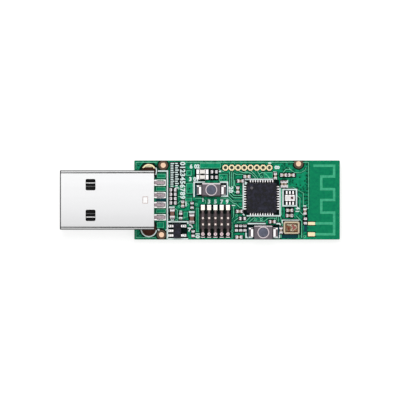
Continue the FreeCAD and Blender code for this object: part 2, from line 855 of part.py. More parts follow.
def switch_base():
    """The moulded base, with a round cavity for the dome and a slot for the plunger's ears."""
    width = cover_width - 2 * cover_sheet - 2 * switch_fit
    bevel = inner_bevel(cover_bend, cover_sheet)
    body = bevelled_bar(switch_base_length, width, -1, switch_base_height, bevel)
    below = slab(0, 0, 2 * switch_base_length, 2 * width, -2, 2)
    well = rod(0, 0, plunger_hole_radius, cavity_floor, switch_base_height + 1)
    slot = slab(0, 0, plunger_ear_length + 2 * plunger_clearance, plunger_ear_width + 2 * plunger_clearance,
                cavity_floor, switch_base_height)
    return body.cut([below, well, slot])


def switch_terminals():
    """The terminal at each end, stepped down from the base to a soldered foot."""
    foot_level = switch_terminal_thickness / 2
    strip = bent_strip(
        [(switch_base_length / 2 - switch_terminal_root, switch_terminal_height),
         (switch_terminal_step, switch_terminal_height),
         (switch_terminal_step, foot_level),
         (switch_terminal_span / 2, foot_level)],
        switch_terminal_bend, switch_terminal_thickness, switch_terminal_width)
    return [strip, placed(strip, 0, 0, 0, 2)]


def switch_cover():
    """The sheet cover: a plate with a raised collar round the plunger and a skirt on each long side."""
    top = cover_underside + cover_sheet
    foot = top - cover_sheet - cover_skirt
    outside = bevelled_bar(cover_length, cover_width, foot - 1, top, cover_bend)
    inside = bevelled_bar(2 * cover_length, cover_width - 2 * cover_sheet, foot - 2, cover_underside,
                          inner_bevel(cover_bend, cover_sheet))
    below = slab(0, 0, 2 * cover_length, 2 * cover_width, foot - 2, 2)
    collar = rod(0, 0, plunger_hole_radius + collar_width, cover_underside, collar_top)
    hole = rod(0, 0, plunger_hole_radius, 0, collar_top + 1)
    return join([outside.cut([inside, below]), collar]).cut(hole)


def switch_plunger():
    """The push button: a round stem over a flange with two ears that the cover holds in."""
    stem = rod(0, 0, plunger_radius, flange_foot, plunger_top)
    stem = stem.makeChamfer(plunger_edge, edges_at_height(stem, plunger_top))
    ears = slab(0, 0, plunger_ear_length, plunger_ear_width, flange_foot, plunger_flange)
    return join([stem, ears])


def switch_dome():
    """The thin snap dome that springs the plunger back: a flat crown on a cone."""
    foot, crown = cavity_floor, cavity_floor + dome_height
    return turned(0, 0, [
        (0, crown), (dome_crown, crown), (dome_radius, foot), (dome_radius - dome_thickness, foot),
        (dome_crown - dome_thickness / 2, crown - dome_thickness), (0, crown - dome_thickness)])


def make_switch(name, x, y):
    """One push-button switch as its five pieces, by node name."""
    for side in (-1, 1):
        add_pad(x + side * (switch_pad_inner + switch_pad_outer) / 2, y,
                switch_pad_outer - switch_pad_inner, switch_terminal_width + 2 * pad_side)
    terminals = switch_terminals()
    pieces = {
        "base": switch_base().cut(terminals),
        "terminals": group(terminals),
        "dome": switch_dome(),
        "cover": switch_cover(),
        "plunger": switch_plunger(),
    }
    return {name + "_" + piece: placed(shape, x, y, pad_top) for piece, shape in pieces.items()}


# Chip resistors and capacitors

def chip_part(length, width, height, terminal):
    """A ceramic block with a slightly larger plated cap on each end, along X."""
    body = slab(0, 0, length, width - 2 * terminal_proud, terminal_proud, height - 2 * terminal_proud)
    caps = [slab(side * (length - terminal) / 2, 0, terminal, width, 0, height) for side in (-1, 1)]
    return join([body] + caps)


small_resistor = (small_length, small_width, small_resistor_height, small_terminal)
small_capacitor = (small_length, small_width, small_capacitor_height, small_terminal)
large_capacitor = (large_length, large_width, large_height, large_terminal)


def make_chip_parts(kind, places):
    """Chip parts of one kind at (x, y, quarter turns), each with its two pads."""
    length, width, height, terminal = kind
    solids = []
    for x, y, turns in places:
        solids.append(placed(chip_part(*kind), x, y, pad_top, turns))
        for side in (-1, 1):
            reach = side * ((length - terminal) / 2 + pad_overhang / 2)
            pad = slab(reach, 0, terminal + pad_overhang, width + 2 * pad_side, 0, copper)
            pads.append(placed(pad, x, y, board_top, turns))
    return group(solids)


lying, standing = 0, 1      # a part along X, or turned across the board


def chip_part_groups():
    """For each node of chip parts: the kind of part, and its (x, y, quarter turns) on the board."""
    def spots(zone_start, turns, *places):
        return [(zone_start + offset, rise, turns) for offset, rise in places]

    def row(place, count, pitch_x, pitch_y):
        return [(place[0] + number * pitch_x, place[1] + number * pitch_y) for number in range(count)]

    line_x, line_y = line_resistor_middle
    line_count = len(contact_offsets)
    first_line = (line_x, line_y - (line_count - 1) / 2 * line_resistor_pitch)
    return {
        "usb_line_resistors": (small_resistor, spots(
            supply_start, lying, *row(first_line, line_count, 0, line_resistor_pitch))),
        "supply_capacitor_1": (large_capacitor, spots(supply_start, standing, supply_capacitor_1_place)),
        "supply_capacitor_2": (large_capacitor, spots(supply_start, standing, supply_capacitor_2_place)),
        "supply_bypass_capacitor": (small_capacitor, spots(supply_start, standing, supply_bypass_place)),
        "pull_up_resistors": (small_resistor, spots(supply_start, standing, *pull_up_places)),
        "lamp_resistors": (small_resistor, spots(
            header_start, lying, *row(lamp_resistor_place, lamp_count, 0, -lamp_pitch))),
        "chip_bypass_capacitors": (small_capacitor, spots(chip_start, lying, *chip_bypass_lying_places)
                                   + spots(chip_start, standing, *chip_bypass_standing_places)),
        "chip_supply_capacitors": (small_capacitor, spots(chip_start, lying, *chip_supply_lying_places)
                                   + spots(chip_start, standing, *chip_supply_standing_places)),
        "chip_bias_resistor": (small_resistor, spots(chip_start, lying, chip_bias_place)),
        "reset_capacitor": (small_capacitor, spots(
            chip_start, lying, (reset_capacitor_offset, switch_1_middle + reset_capacitor_rise))),
        "port_resistors": (small_resistor, spots(
            chip_start, standing, *row(port_resistor_place, port_resistor_count, port_resistor_pitch, 0))),
        "port_capacitor": (small_capacitor, spots(chip_start, lying, port_capacitor_place)),
        "balun_capacitors": (small_capacitor, spots(balun_start, lying, *balun_capacitor_places)),
        "crystal_capacitor": (small_capacitor, spots(balun_start, standing, crystal_capacitor_place)),
        "antenna_match_capacitor": (small_capacitor, spots(antenna_start, standing, match_capacitor_place)),
        "antenna_match_resistor": (small_resistor, spots(antenna_start, standing, match_resistor_place)),
    }


def make_all():
    """Every node's shape by name."""
    nodes = {
        "plug_shell": make_plug_shell(),
        "plug_insulator": make_plug_insulator(),
        "lug_solder": make_lug_solder(),
        "circuit_board": make_circuit_board(),
        "alignment_marks": make_alignment_marks(),
        "antenna_track": make_antenna_track(),
        "antenna_pads": make_antenna_pads(),
    }
    for name in contact_offsets:
        nodes[name] = make_contact(name)
    nodes["radio_chip_body"], nodes["radio_chip_lands"] = make_chip()
    nodes["balun_body"], nodes["balun_terminals"] = make_balun(balun_start + balun_offset, balun_rise)
    crystal = make_crystal(balun_start + crystal_offset, board_bottom_edge + crystal_edge)
    nodes["crystal_base"], nodes["crystal_seal_ring"], nodes["crystal_lid"] = crystal
    regulator = make_regulator(supply_start + regulator_offset, board_bottom_edge + regulator_edge)
    nodes["regulator_body"], nodes["regulator_leads"] = regulator
    header = make_pin_header(header_start + header_offset, board_bottom_edge + header_edge)
    nodes["pin_header_housing"], nodes["pin_header_pins"] = header
    for number in range(lamp_count):
        lamp = make_lamp(header_start + lamp_offset, board_top_edge - lamp_edge - number * lamp_pitch)
        nodes["lamp_%d_carrier" % (number + 1)], nodes["lamp_%d_lens" % (number + 1)] = lamp
    nodes.update(make_switch("switch_1", chip_start + switch_1_offset, switch_1_middle))
    nodes.update(make_switch("switch_2", header_start + switch_2_offset, board_top_edge - switch_2_edge))
    for name, (kind, places) in chip_part_groups().items():
        nodes[name] = make_chip_parts(kind, places)
    nodes["solder_pads"] = group(pads)
    return nodes


os.makedirs("parts", exist_ok=True)
for node, shape in make_all().items():
    shape.exportStep("parts/" + node + ".step")
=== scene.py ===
"""Looks for the USB radio stick: finishes for its solids, and the tracks, print and solder on its board."""

import math
import random

import bmesh
import bpy
from bpy.props import FloatProperty, FloatVectorProperty, PointerProperty
from mathutils import Matrix, Vector


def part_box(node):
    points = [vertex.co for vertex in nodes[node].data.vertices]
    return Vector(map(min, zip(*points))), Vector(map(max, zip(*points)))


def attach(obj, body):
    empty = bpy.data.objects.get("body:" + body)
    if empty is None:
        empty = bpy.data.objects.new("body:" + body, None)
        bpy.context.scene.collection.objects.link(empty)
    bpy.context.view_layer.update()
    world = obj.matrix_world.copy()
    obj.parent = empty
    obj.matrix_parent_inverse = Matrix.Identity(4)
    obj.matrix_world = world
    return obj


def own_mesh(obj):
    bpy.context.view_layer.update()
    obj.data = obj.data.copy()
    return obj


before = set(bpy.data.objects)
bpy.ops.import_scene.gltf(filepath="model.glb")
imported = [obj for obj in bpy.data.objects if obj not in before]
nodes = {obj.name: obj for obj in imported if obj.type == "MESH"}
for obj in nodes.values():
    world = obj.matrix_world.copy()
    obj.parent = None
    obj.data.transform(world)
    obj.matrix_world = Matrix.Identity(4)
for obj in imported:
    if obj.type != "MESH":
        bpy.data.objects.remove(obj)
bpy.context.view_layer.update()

bl_info = {
    "name": "USB radio stick looks",
    "version": (1, 0, 0),
    "blender": (4, 5, 0),
    "location": "3D View > Sidebar > Radio stick",
    "description": "Finishes and board details for a bare USB radio stick",
    "category": "Object",
}

MM = 0.001


def paint(red, green, blue):
    """A colour given as 0 to 255 on a screen, as Blender's linear colour."""
    shares = [part / 255 for part in (red, green, blue)]
    return tuple(x / 12.92 if x <= 0.04045 else ((x + 0.055) / 1.055) ** 2.4 for x in shares)


def corners(node):
    """The lowest and highest corner of a solid, in millimetres."""
    return [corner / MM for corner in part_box(node)]


board_low, board_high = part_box("circuit_board")
board_bottom_edge, board_top_edge = board_low.y / MM, board_high.y / MM
board_top, pad_top = (corner.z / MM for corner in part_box("solder_pads"))


# Settings that a user would change

def colour(name, description, red, green, blue):
    """A colour setting, given as 0 to 255 on a screen."""
    return FloatVectorProperty(name=name, description=description, subtype="COLOR", size=3,
                               min=0, max=1, default=paint(red, green, blue))


def length(name, description, millimetres):
    """A length setting, given in millimetres."""
    return FloatProperty(name=name, description=description, unit="LENGTH", precision=5,
                         min=0, default=millimetres * MM)


class StickBoardLook(bpy.types.PropertyGroup):
    """Colours and sizes of the board, its tracks and its print."""

    pour: colour("Pour green", "Solder mask over copper foil", 14, 158, 112)
    gap: colour("Gap green", "Solder mask in the gaps between tracks", 0, 70, 50)
    laminate: colour("Bare green", "Solder mask over bare laminate, round the antenna", 10, 142, 96)
    track: colour("Track green", "Solder mask over raised tracks and the edges of pours", 120, 222, 180)
    edge: colour("Board edge", "Cut edge of the glass cloth laminate", 92, 122, 66)
    ink: colour("Print ink", "Printed marks and frames", 236, 255, 252)
    ink_width: length("Print width", "Width of a printed line", 0.28)
    ink_height: length("Print height", "Thickness of the printed ink", 0.012)
    track_width: length("Track width", "Width of a signal track", 0.16)
    gap_width: length("Gap width", "Bare gap on each side of a track", 0.16)
    via_radius: length("Via radius", "Outer radius of a small plated hole", 0.26)


class StickMetalLook(bpy.types.PropertyGroup):
    """Colours of the metals."""

    nickel: colour("Plug nickel", "Satin plating of the plug", 240, 240, 241)
    tin: colour("Solder tin", "Bright solder and tinned leads", 246, 242, 243)
    ends: colour("Tinned ends", "Ends of the small parts", 216, 211, 215)
    gold: colour("Plated gold", "Thin gold on pads and rings", 246, 230, 188)
    copper: colour("Bare copper", "Alignment marks", 250, 212, 182)
    tail: colour("Contact tail", "Tinned tails of the plug's contacts", 178, 162, 168)
    sheet: colour("Switch sheet", "Stainless sheet of the switches", 128, 120, 127)
    pin: colour("Header pin", "Bright plated header pins", 240, 228, 222)


class StickPartLook(bpy.types.PropertyGroup):
    """Colours of the plastics and ceramics."""

    mould: colour("Chip plastic", "Moulded bodies of the chips", 38, 38, 48)
    insulator: colour("Plug plastic", "Moulded inside of the plug", 20, 20, 22)
    button: colour("Button plastic", "Push buttons", 96, 100, 118)
    brown: colour("Brown ceramic", "Larger capacitors", 136, 96, 84)
    beige: colour("Beige ceramic", "Small capacitors", 176, 160, 142)
    black: colour("Resistor black", "Glaze on the resistors", 20, 20, 24)
    white: colour("White ceramic", "Balun filter and lamp carriers", 248, 244, 244)
    cream: colour("Cream ceramic", "Base of the crystal", 222, 210, 186)


class StickStageLook(bpy.types.PropertyGroup):
    """The camera and the light."""

    picture_width: length("Picture width", "What the picture spans at the board", 80.97)
    lens: FloatProperty(name="Lens", description="Focal length in millimetres", default=800, min=50)
    key_power: FloatProperty(name="Key power", description="Watts of the lamp above the stick",
                             default=0.16, min=0)
    side_power: FloatProperty(name="Side power", description="Watts of the lamp past its long edge",
                              default=0.22, min=0)
    fill: FloatProperty(name="Fill", description="Strength of the room's own light", default=0.55, min=0)


# Node tools: each adds one node to a tree, and returns what it puts out

def add_node(tree, kind, values=None, **settings):
    """A node with its settings, and constants or links for its named or numbered inputs."""
    node = tree.nodes.new(kind)
    for key, value in settings.items():
        setattr(node, key, value)
    for key, value in (values or {}).items():
        if isinstance(value, bpy.types.NodeSocket):
            tree.links.new(value, node.inputs[key])
        else:
            node.inputs[key].default_value = value
    return node


def figure(tree, operation, *values, clamp=False):
    """The result of one sum on values."""
    return add_node(tree, "ShaderNodeMath", dict(enumerate(values)), operation=operation,
                    use_clamp=clamp).outputs[0]


def blend(tree, share, first, second):
    """A colour between two, by the share of the second."""
    return add_node(tree, "ShaderNodeMix", {0: share, 6: first, 7: second}, data_type="RGBA").outputs[2]


def scaled(tree, shade, factor):
    """A colour times a factor."""
    return add_node(tree, "ShaderNodeVectorMath", {0: shade, 3: factor}, operation="SCALE").outputs[0]


def spread(tree, value, low, high, start=0.0, end=1.0):
    """A value that goes from low to high, taken to go from start to end."""
    return add_node(tree, "ShaderNodeMapRange", {
        "Value": value, 1: low, 2: high, 3: start, 4: end}).outputs[0]


def noise(tree, place, scale, detail=2, rough=0.5):
    """A soft random value from 0 to 1 at a place."""
    return add_node(tree, "ShaderNodeTexNoise", {
        "Vector": place, "Scale": scale, "Detail": detail, "Roughness": rough}).outputs["Fac"]


def bump(tree, height, strength, distance=0.00002):
    """A normal that tilts as a height rises and falls, over a distance in metres."""
    return add_node(tree, "ShaderNodeBump", {
        "Height": height, "Strength": strength, "Distance": distance}).outputs[0]


def object_place(tree):
    """Where on its object a point lies, and the same split into X, Y and Z."""
    place = add_node(tree, "ShaderNodeTexCoord").outputs["Object"]
    return place, add_node(tree, "ShaderNodeSeparateXYZ", {0: place}).outputs


def off_line(tree, across, line):
    """How far a place lies from a line on either side of the middle."""
    side = figure(tree, "ABSOLUTE", across)
    return figure(tree, "ABSOLUTE", figure(tree, "SUBTRACT", side, line))


def ramp(tree, factor, *stops):
    """A colour ramp through grey levels or colours."""
    node = add_node(tree, "ShaderNodeValToRGB", {0: factor})
    elements = node.color_ramp.elements
    while len(elements) < len(stops):
        elements.new(0.5)
    for element, (spot, shade) in zip(elements, stops):
        element.position = spot
        element.color = (*shade, 1) if isinstance(shade, tuple) else (shade, shade, shade, 1)
    return node.outputs[0]


# Shared effects

grey = (0.5, 0.5, 0.5, 1)


def new_effect(name, inputs):
    """An empty node group with a colour, a roughness and a normal going out."""
    group = bpy.data.node_groups.new(name, "ShaderNodeTree")
    for label, default in inputs.items():
        kind = "NodeSocketColor" if isinstance(default, tuple) else "NodeSocketFloat"
        socket = group.interface.new_socket(name=label, in_out="INPUT", socket_type=kind)
        socket.default_value = default
    for label, kind in (("Colour", "NodeSocketColor"), ("Roughness", "NodeSocketFloat"),
                        ("Normal", "NodeSocketVector")):
        group.interface.new_socket(name=label, in_out="OUTPUT", socket_type=kind)
    return group, group.nodes.new("NodeGroupInput").outputs


def end_effect(group, *sockets):
    """Sends a colour, a roughness and a normal out of the group."""
    out = group.nodes.new("NodeGroupOutput")
    for number, socket in enumerate(sockets):
        group.links.new(socket, out.inputs[number])


def grain_effect(name, stretch, detail):
    """Uneven colour and gloss and a fine bump, from one noise that is stretched along the axes."""
    group, given = new_effect(name, {
        "Colour": grey, "Variation": 0.1, "Roughness": 0.5, "Scale": 2000, "Depth": 0.1})
    place = add_node(group, "ShaderNodeTexCoord").outputs["Object"]
    drawn = add_node(group, "ShaderNodeMapping", {"Vector": place, "Scale": stretch}).outputs[0]
    grain = noise(group, drawn, given["Scale"], detail, 0.6)
    swing = figure(group, "MULTIPLY", figure(group, "SUBTRACT", grain, 0.5), given["Variation"])
    end_effect(group, scaled(group, given["Colour"], figure(group, "MULTIPLY_ADD", swing, 4.0, 1.0)),
               figure(group, "MULTIPLY_ADD", swing, 1.5, given["Roughness"], clamp=True),
               bump(group, grain, given["Depth"]))


def cloth_effect():
    """Solder mask over glass cloth: two crossed waves of the weave under a soft mottle."""
    group, given = new_effect("Mask over glass cloth", {
        "Colour": grey, "Shade": grey, "Mottle": 0.5, "Roughness": 0.35, "Weave": 0.3})
    place = add_node(group, "ShaderNodeTexCoord").outputs["Object"]
    patches = spread(group, noise(group, place, 1500, 4, 0.7), 0.44, 0.6)
    waves = [add_node(group, "ShaderNodeTexWave", {"Vector": place, "Scale": 620, "Distortion": 1.5},
                      bands_direction=direction).outputs["Fac"] for direction in ("X", "Y")]
    end_effect(group, blend(group, figure(group, "MULTIPLY", patches, given["Mottle"]), given["Colour"],
                            given["Shade"]),
               figure(group, "MULTIPLY_ADD", patches, 0.08, given["Roughness"]),
               bump(group, figure(group, "MAXIMUM", *waves), given["Weave"], 0.00001))


def fold_effect():
    """Folded satin sheet with painted light: painted shade lines along its folds, near each fold and at its
    mouth, and a painted falloff that darkens it across its width.
    """
    group, given = new_effect("Folded sheet", {
        "Colour": grey, "Roughness": 0.25, "Mouth": 0.0, "Half width": 0.006, "Crease": 0.0055})
    place, parts = object_place(group)
    normal = add_node(group, "ShaderNodeTexCoord").outputs["Normal"]
    facing = add_node(group, "ShaderNodeSeparateXYZ", {0: normal}).outputs["Z"]
    # painted shade: darker where the sheet's faces tip part way from straight up, on its bends
    painted_fold_shade = ramp(group, facing, (0.0, 1.0), (0.1, 1.0), (0.2, 0.12), (0.64, 0.12), (0.73, 1.0))
    painted_mouth_line = spread(group, figure(group, "SUBTRACT", parts["X"], given["Mouth"]), 0.00018, 0.00026, 0.12, 1.0)
    share = spread(group, figure(group, "DIVIDE", parts["Y"], given["Half width"]), -1, 1)
    # painted light: darker towards the low Y edge, brighter towards the high Y edge
    painted_light_falloff = ramp(group, share, (0.0, 0.74), (0.25, 0.84), (0.5, 0.92), (1.0, 1.0))
    painted_crease_line = spread(group, off_line(group, parts["Y"], given["Crease"]), 0.00006, 0.00011, 0.13, 1.0)
    lines = figure(group, "MULTIPLY", figure(group, "MINIMUM", painted_fold_shade, painted_crease_line), painted_mouth_line)
    drawn = add_node(group, "ShaderNodeMapping", {"Vector": place, "Scale": (0.06, 1, 1)}).outputs[0]
    grain = noise(group, drawn, 700)
    end_effect(group, scaled(group, given["Colour"], figure(group, "MULTIPLY", lines, painted_light_falloff)),
               figure(group, "MULTIPLY_ADD", grain, 0.03, given["Roughness"]), bump(group, grain, 0.005))


def window_effect():
    """Painted shade on metal or plastic under the plug's windows, but for one thin painted highlight line
    along its crown.
    """
    group, given = new_effect("Under the windows", {
        "Colour": grey, "Roughness": 0.25, "Line": grey, "Window end": 0.0, "Crown": 0.0, "Reach": 0.0001})
    place, parts = object_place(group)
    under = figure(group, "LESS_THAN", parts["X"], given["Window end"])
    near = figure(group, "LESS_THAN", off_line(group, parts["Y"], given["Crown"]), given["Reach"])
    # painted shade: near black under the windows; painted highlight: the given colour near the line
    inside = blend(group, near, (0.012, 0.012, 0.013, 1), given["Line"])
    grain = noise(group, place, 1800)
    end_effect(group, blend(group, under, given["Colour"], inside),
               figure(group, "MULTIPLY_ADD", grain, 0.1, given["Roughness"]), bump(group, grain, 0.08))


# Finishes. A colour is a setting's name, or red, green and blue as 0 to 255 on a screen.

# Colour, metallic, roughness, effect, variation, noise scale, bump, and specular where it isn't 0.5
grain_looks = {
    "pressed nickel": ((255, 255, 255), 1, 0.3, "Brushed grain", 0.03, 1500, 0.1),
    # painted shade on the sloping walls of the pressed mark
    "pressed edge": ((206, 184, 178), 1, 0.35, "Brushed grain", 0.1, 1500, 0.1),
    "contact tail": ("metal.tail", 1, 0.3, "Solder skin", 0.6, 1800, 0.3),
    "plated gold": ("metal.gold", 1, 0.28, "Brushed grain", 0.06, 1800, 0.1),
    # plating and solder at the lugs darkened brown by flux and by painted shade
    "aged plating": ((74, 46, 38), 1, 0.4, "Fine grain", 0.3, 1500, 0.2),
    "lug solder": ((74, 46, 38), 1, 0.35, "Fine grain", 0.3, 1500, 0.2),
    "cut laminate": ("board.edge", 0, 0.7, "Fine grain", 0.2, 5000, 0.4),
    "bare copper": ("metal.copper", 1, 0.3, "Fine grain", 0.3, 1600, 0.2),
    "bare glass cloth": ((104, 84, 70), 0, 0.6, "Fine grain", 0.3, 1500, 0.4, 0.2),
    "bright solder": ("metal.tin", 1, 0.16, "Solder skin", 0.05, 1500, 0.2),
    "tinned ends": ("metal.ends", 1, 0.2, "Solder skin", 0.5, 420, 0.2),
    "creamy solder": ((250, 246, 232), 1, 0.2, "Solder skin", 0.12, 1500, 0.2),
    "pinkish solder": ((226, 204, 208), 1, 0.25, "Solder skin", 0.2, 1500, 0.2),
    "dull solder": ((130, 104, 110), 1, 0.4, "Fine grain", 0.2, 1500, 0.2),
    # painted shade films on the pads, also the lamps' dark joints
    "flux residue": ((26, 24, 22), 0, 0.4, "Fine grain", 0.4, 1500, 0.3, 0.2),
    "white ink": ("board.ink", 0, 0.6, "Fine grain", 0.05, 4000, 0.1, 0.2),
    "black ceramic": ("parts.black", 0, 0.25, "Fine grain", 0.18, 1800, 0.2),
    "brown ceramic": ("parts.brown", 0, 0.5, "Fine grain", 0.18, 1800, 0.2),
    "beige ceramic": ("parts.beige", 0, 0.5, "Fine grain", 0.18, 1800, 0.2),
    "chip mould": ("parts.mould", 0, 0.55, "Fine grain", 1.7, 1500, 0.5, 0.25),
    "chip dimple": ((92, 86, 92), 0, 0.3, "Fine grain", 0.1, 3000, 0.1),
    "balun ceramic": ("parts.white", 0, 0.4, "Fine grain", 0.03, 3000, 0.1),
    "marking ink": ((84, 40, 46), 0, 0.5, "Fine grain", 0.1, 3000, 0.1),
    "crystal base": ("parts.cream", 0, 0.5, "Fine grain", 0.08, 2500, 0.2),
    # its colour is replaced by blotches of painted reflection
    "crystal lid": ((150, 112, 92), 1, 0.25, "Solder skin", 0.1, 1500, 0.2),
    "seal ring": ((226, 206, 170), 1, 0.35, "Brushed grain", 0.1, 1500, 0.1),
    "weld line": ((84, 50, 40), 1, 0.4, "Fine grain", 0.3, 1500, 0.3),
    "switch sheet": ("metal.sheet", 1, 0.4, "Fine grain", 0.3, 1700, 0.3),
    "dome sheet": ("metal.sheet", 1, 0.25, "Brushed grain", 0.04, 2000, 0.1),
    "switch collar": ((226, 214, 220), 1, 0.35, "Brushed grain", 0.1, 1800, 0.2),
    # painted highlight on the covers' edges that face +Y
    "switch ridge": ((250, 240, 244), 1, 0.3, "Brushed grain", 0.05, 1800, 0.1),
    "switch terminals": ((116, 108, 112), 1, 0.35, "Solder skin", 0.25, 1800, 0.3),
    "switch base": ((40, 36, 42), 0, 0.55, "Fine grain", 0.1, 3000, 0.3),
    "button plastic": ("parts.button", 0, 0.45, "Fine grain", 0.3, 1800, 0.3),
    "header plastic": ((44, 36, 38), 0, 0.4, "Fine grain", 0.6, 1500, 0.4),
    "header pins": ("metal.pin", 1, 0.22, "Brushed grain", 0.05, 1800, 0.2),
    # painted shade on the low feet of the pins
    "header feet": ((120, 106, 106), 1, 0.35, "Solder skin", 0.3, 1600, 0.3),
    "lamp carrier": ("parts.white", 0, 0.45, "Fine grain", 0.03, 2500, 0.1),
    "lamp lens": ((255, 250, 244), 0, 0.2, "Fine grain", 0.02, 2500, 0.05),
}

# Green, the green that it is mottled towards, how much of that shows, and specular
mask_looks = {
    "board mask": ("board.pour", "board.gap", 0.85, 0.1),
    "mask over pour": ("board.pour", "board.gap", 0.35, 0.1),
    "mask over track": ("board.track", "board.pour", 0.5, 0.1),
    "mask in gaps": ("board.gap", (0, 50, 34), 0.5, 0.1),
    # painted shade between close pads and round the small parts
    "mask between pads": ((6, 30, 28), (0, 8, 8), 0.6, 0.05),
    # dark teal patches, one of them painted shade; also the switches' pad films
    "mask over inner copper": ((14, 76, 84), (4, 56, 60), 0.6, 0.1),
    "mask over antenna": ((76, 192, 146), (46, 160, 120), 0.5, 0.1),
    "mask round openings": ((2, 38, 26), (0, 22, 16), 0.5, 0.1),
    # painted shade: a dark halo under the printed lines
    "mask under print": ((2, 48, 40), (0, 24, 20), 0.5, 0.1),
}


def tone(look):
    """The linear colour of a look."""
    if isinstance(look, str):
        group, name = look.split(".")
        return tuple(getattr(getattr(bpy.context.scene, "stick_" + group), name))
    return paint(*look)


def new_finish(name, look, metal, rough, effect, specular, **values):
    """A material: constants on its shader, and an effect that varies its colour, gloss and normal."""
    base = (*tone(look), 1)
    made = bpy.data.materials.new(name)
    made.use_nodes = True
    made.diffuse_color = base
    tree = made.node_tree
    shader = tree.nodes["Principled BSDF"]
    shader.inputs["Base Color"].default_value = base
    shader.inputs["Metallic"].default_value = metal
    shader.inputs["Roughness"].default_value = rough
    shader.inputs["Specular IOR Level"].default_value = specular
    varied = add_node(tree, "ShaderNodeGroup", node_tree=bpy.data.node_groups[effect])
    for key, value in (("Colour", base), ("Roughness", rough), *values.items()):
        varied.inputs[key].default_value = value
    for label, target in (("Colour", "Base Color"), ("Roughness", "Roughness"), ("Normal", "Normal")):
        tree.links.new(varied.outputs[label], shader.inputs[target])
    return made


def finish(name):
    """The material of that name, made from its look when it is first asked for."""
    if name in bpy.data.materials:
        return bpy.data.materials[name]
    if name in mask_looks:
        look, shade, mottle, specular = mask_looks[name]
        return new_finish(name, look, 0, 0.4, "Mask over glass cloth", specular,
                          Shade=(*tone(shade), 1), Mottle=mottle, Weave=0.25)
    look, metal, rough, effect, variation, scale, depth, specular = (*grain_looks[name], 0.5)[:8]
    return new_finish(name, look, metal, rough, effect, specular,
                      Variation=variation, Scale=scale, Depth=depth)


def recolour(name, shade_maker):
    """Gives a finish a colour that changes from place to place."""
    tree = finish(name).node_tree
    tree.links.new(shade_maker(tree), tree.nodes["Group"].inputs["Colour"])


def coat_node(node, *finishes, pick=None):
    """Gives a solid its finishes. Where it has several, pick tells which of them a face takes."""
    mesh = nodes[node].data
    mesh.materials.clear()
    for name in finishes:
        mesh.materials.append(finish(name))
    if pick:
        for face in mesh.polygons:
            face.material_index = int(pick(face))


# Mesh tools, in millimetres

def add_loft(bm, rings, loop=False):
    """Joins rings of points, each the same count, into one closed skin."""
    skin = [[bm.verts.new(point) for point in ring] for ring in rings]
    pairs = list(zip(skin, skin[1:])) + ([(skin[-1], skin[0])] if loop else [])
    for first, second in pairs:
        for k in range(len(first)):
            after = (k + 1) % len(first)
            bm.faces.new((first[k], first[after], second[after], second[k]))
    if not loop:
        bm.faces.new(skin[0][::-1])
        bm.faces.new(skin[-1])


def add_strip(bm, points, width, low, high, loop=False):
    """A flat strip along a line of points, with mitred corners."""
    path = [Vector(point) for point in points]
    rings = []
    for k, point in enumerate(path):
        before = path[k - 1] if k or loop else None
        after = path[(k + 1) % len(path)] if k < len(path) - 1 or loop else None
        coming = (point - before).normalized() if before else (after - point).normalized()
        going = (after - point).normalized() if after else coming
        along = (coming + going).normalized()
        across = Vector((-along.y, along.x))
        reach = width / 2 / max(0.4, across.dot(Vector((-going.y, going.x))))
        left, right = point + across * reach, point - across * reach
        rings.append([(left.x, left.y, low), (right.x, right.y, low),
                      (right.x, right.y, high), (left.x, left.y, high)])
    add_loft(bm, rings, loop)


def add_plate(bm, outline, low, high):
    """A flat plate with that outline."""
    add_loft(bm, [[(x, y, z) for x, y in outline] for z in (low, high)])


def rectangle(x0, x1, y0, y1):
    """The corners of a rectangle, in turn."""
    return [(x0, y0), (x1, y0), (x1, y1), (x0, y1)]


def add_box(bm, x0, x1, y0, y1, low, high):
    """A box by its reach along X, along Y and in height."""
    add_plate(bm, rectangle(x0, x1, y0, y1), low, high)


def add_turned_box(bm, lying, along, across, low, high):
    """A box by its reach along and across a part that lies along X or, if not lying, along Y."""
    add_box(bm, *(along if lying else across), *(across if lying else along), low, high)


def circle(x, y, radius, sides=28, start=0.0, turn=math.tau):
    """Points round a circle or along a part of it."""
    return [(x + radius * math.cos(start + turn * k / sides), y + radius * math.sin(start + turn * k / sides))
            for k in range(sides)]


def add_ring(bm, x, y, inner, outer, low, high):
    """A flat ring, or a disc where inner is 0."""
    if inner:
        add_strip(bm, circle(x, y, (inner + outer) / 2), outer - inner, low, high, loop=True)
    else:
        add_plate(bm, circle(x, y, outer), low, high)


def add_solder(bm, x, y, turn, reach, width, height, foot):
    """A fillet of solder that climbs a face at x, y and runs out along turn."""
    steps, sides = 7, 8
    out = Vector((math.cos(turn), math.sin(turn)))
    across = Vector((-out.y, out.x))
    rows = []
    for i in range(steps + 1):
        row = []
        for j in range(sides + 1):
            u, v = i / steps, 2 * j / sides - 1
            rise = (1 - u) ** 2.3 * (1 - abs(v) ** 5) ** 0.6
            half = width / 2 * (1 - 0.22 * u * u)
            place = Vector((x, y)) + out * (reach * u) + across * (v * half)
            row.append(bm.verts.new((place.x, place.y, foot + height * rise)))
        rows.append(row)
    for first, second in zip(rows, rows[1:]):
        for j in range(sides):
            bm.faces.new((first[j], second[j], second[j + 1], first[j + 1]))


def add_block(bm, x, y, size_x, size_y, low, high, cut, slope=0.03):
    """A low solder block with its corners cut off and a small slope round its top."""
    rings = []
    for level, inset in ((low, 0), (high - slope, 0), (high, slope)):
        a, b = size_x / 2 - inset, size_y / 2 - inset
        outline = [(a - cut, -b), (a, cut - b), (a, b - cut), (a - cut, b),
                   (cut - a, b), (-a, b - cut), (-a, cut - b), (cut - a, -b)]
        rings.append([(x + dx, y + dy, level) for dx, dy in outline])
    add_loft(bm, rings)


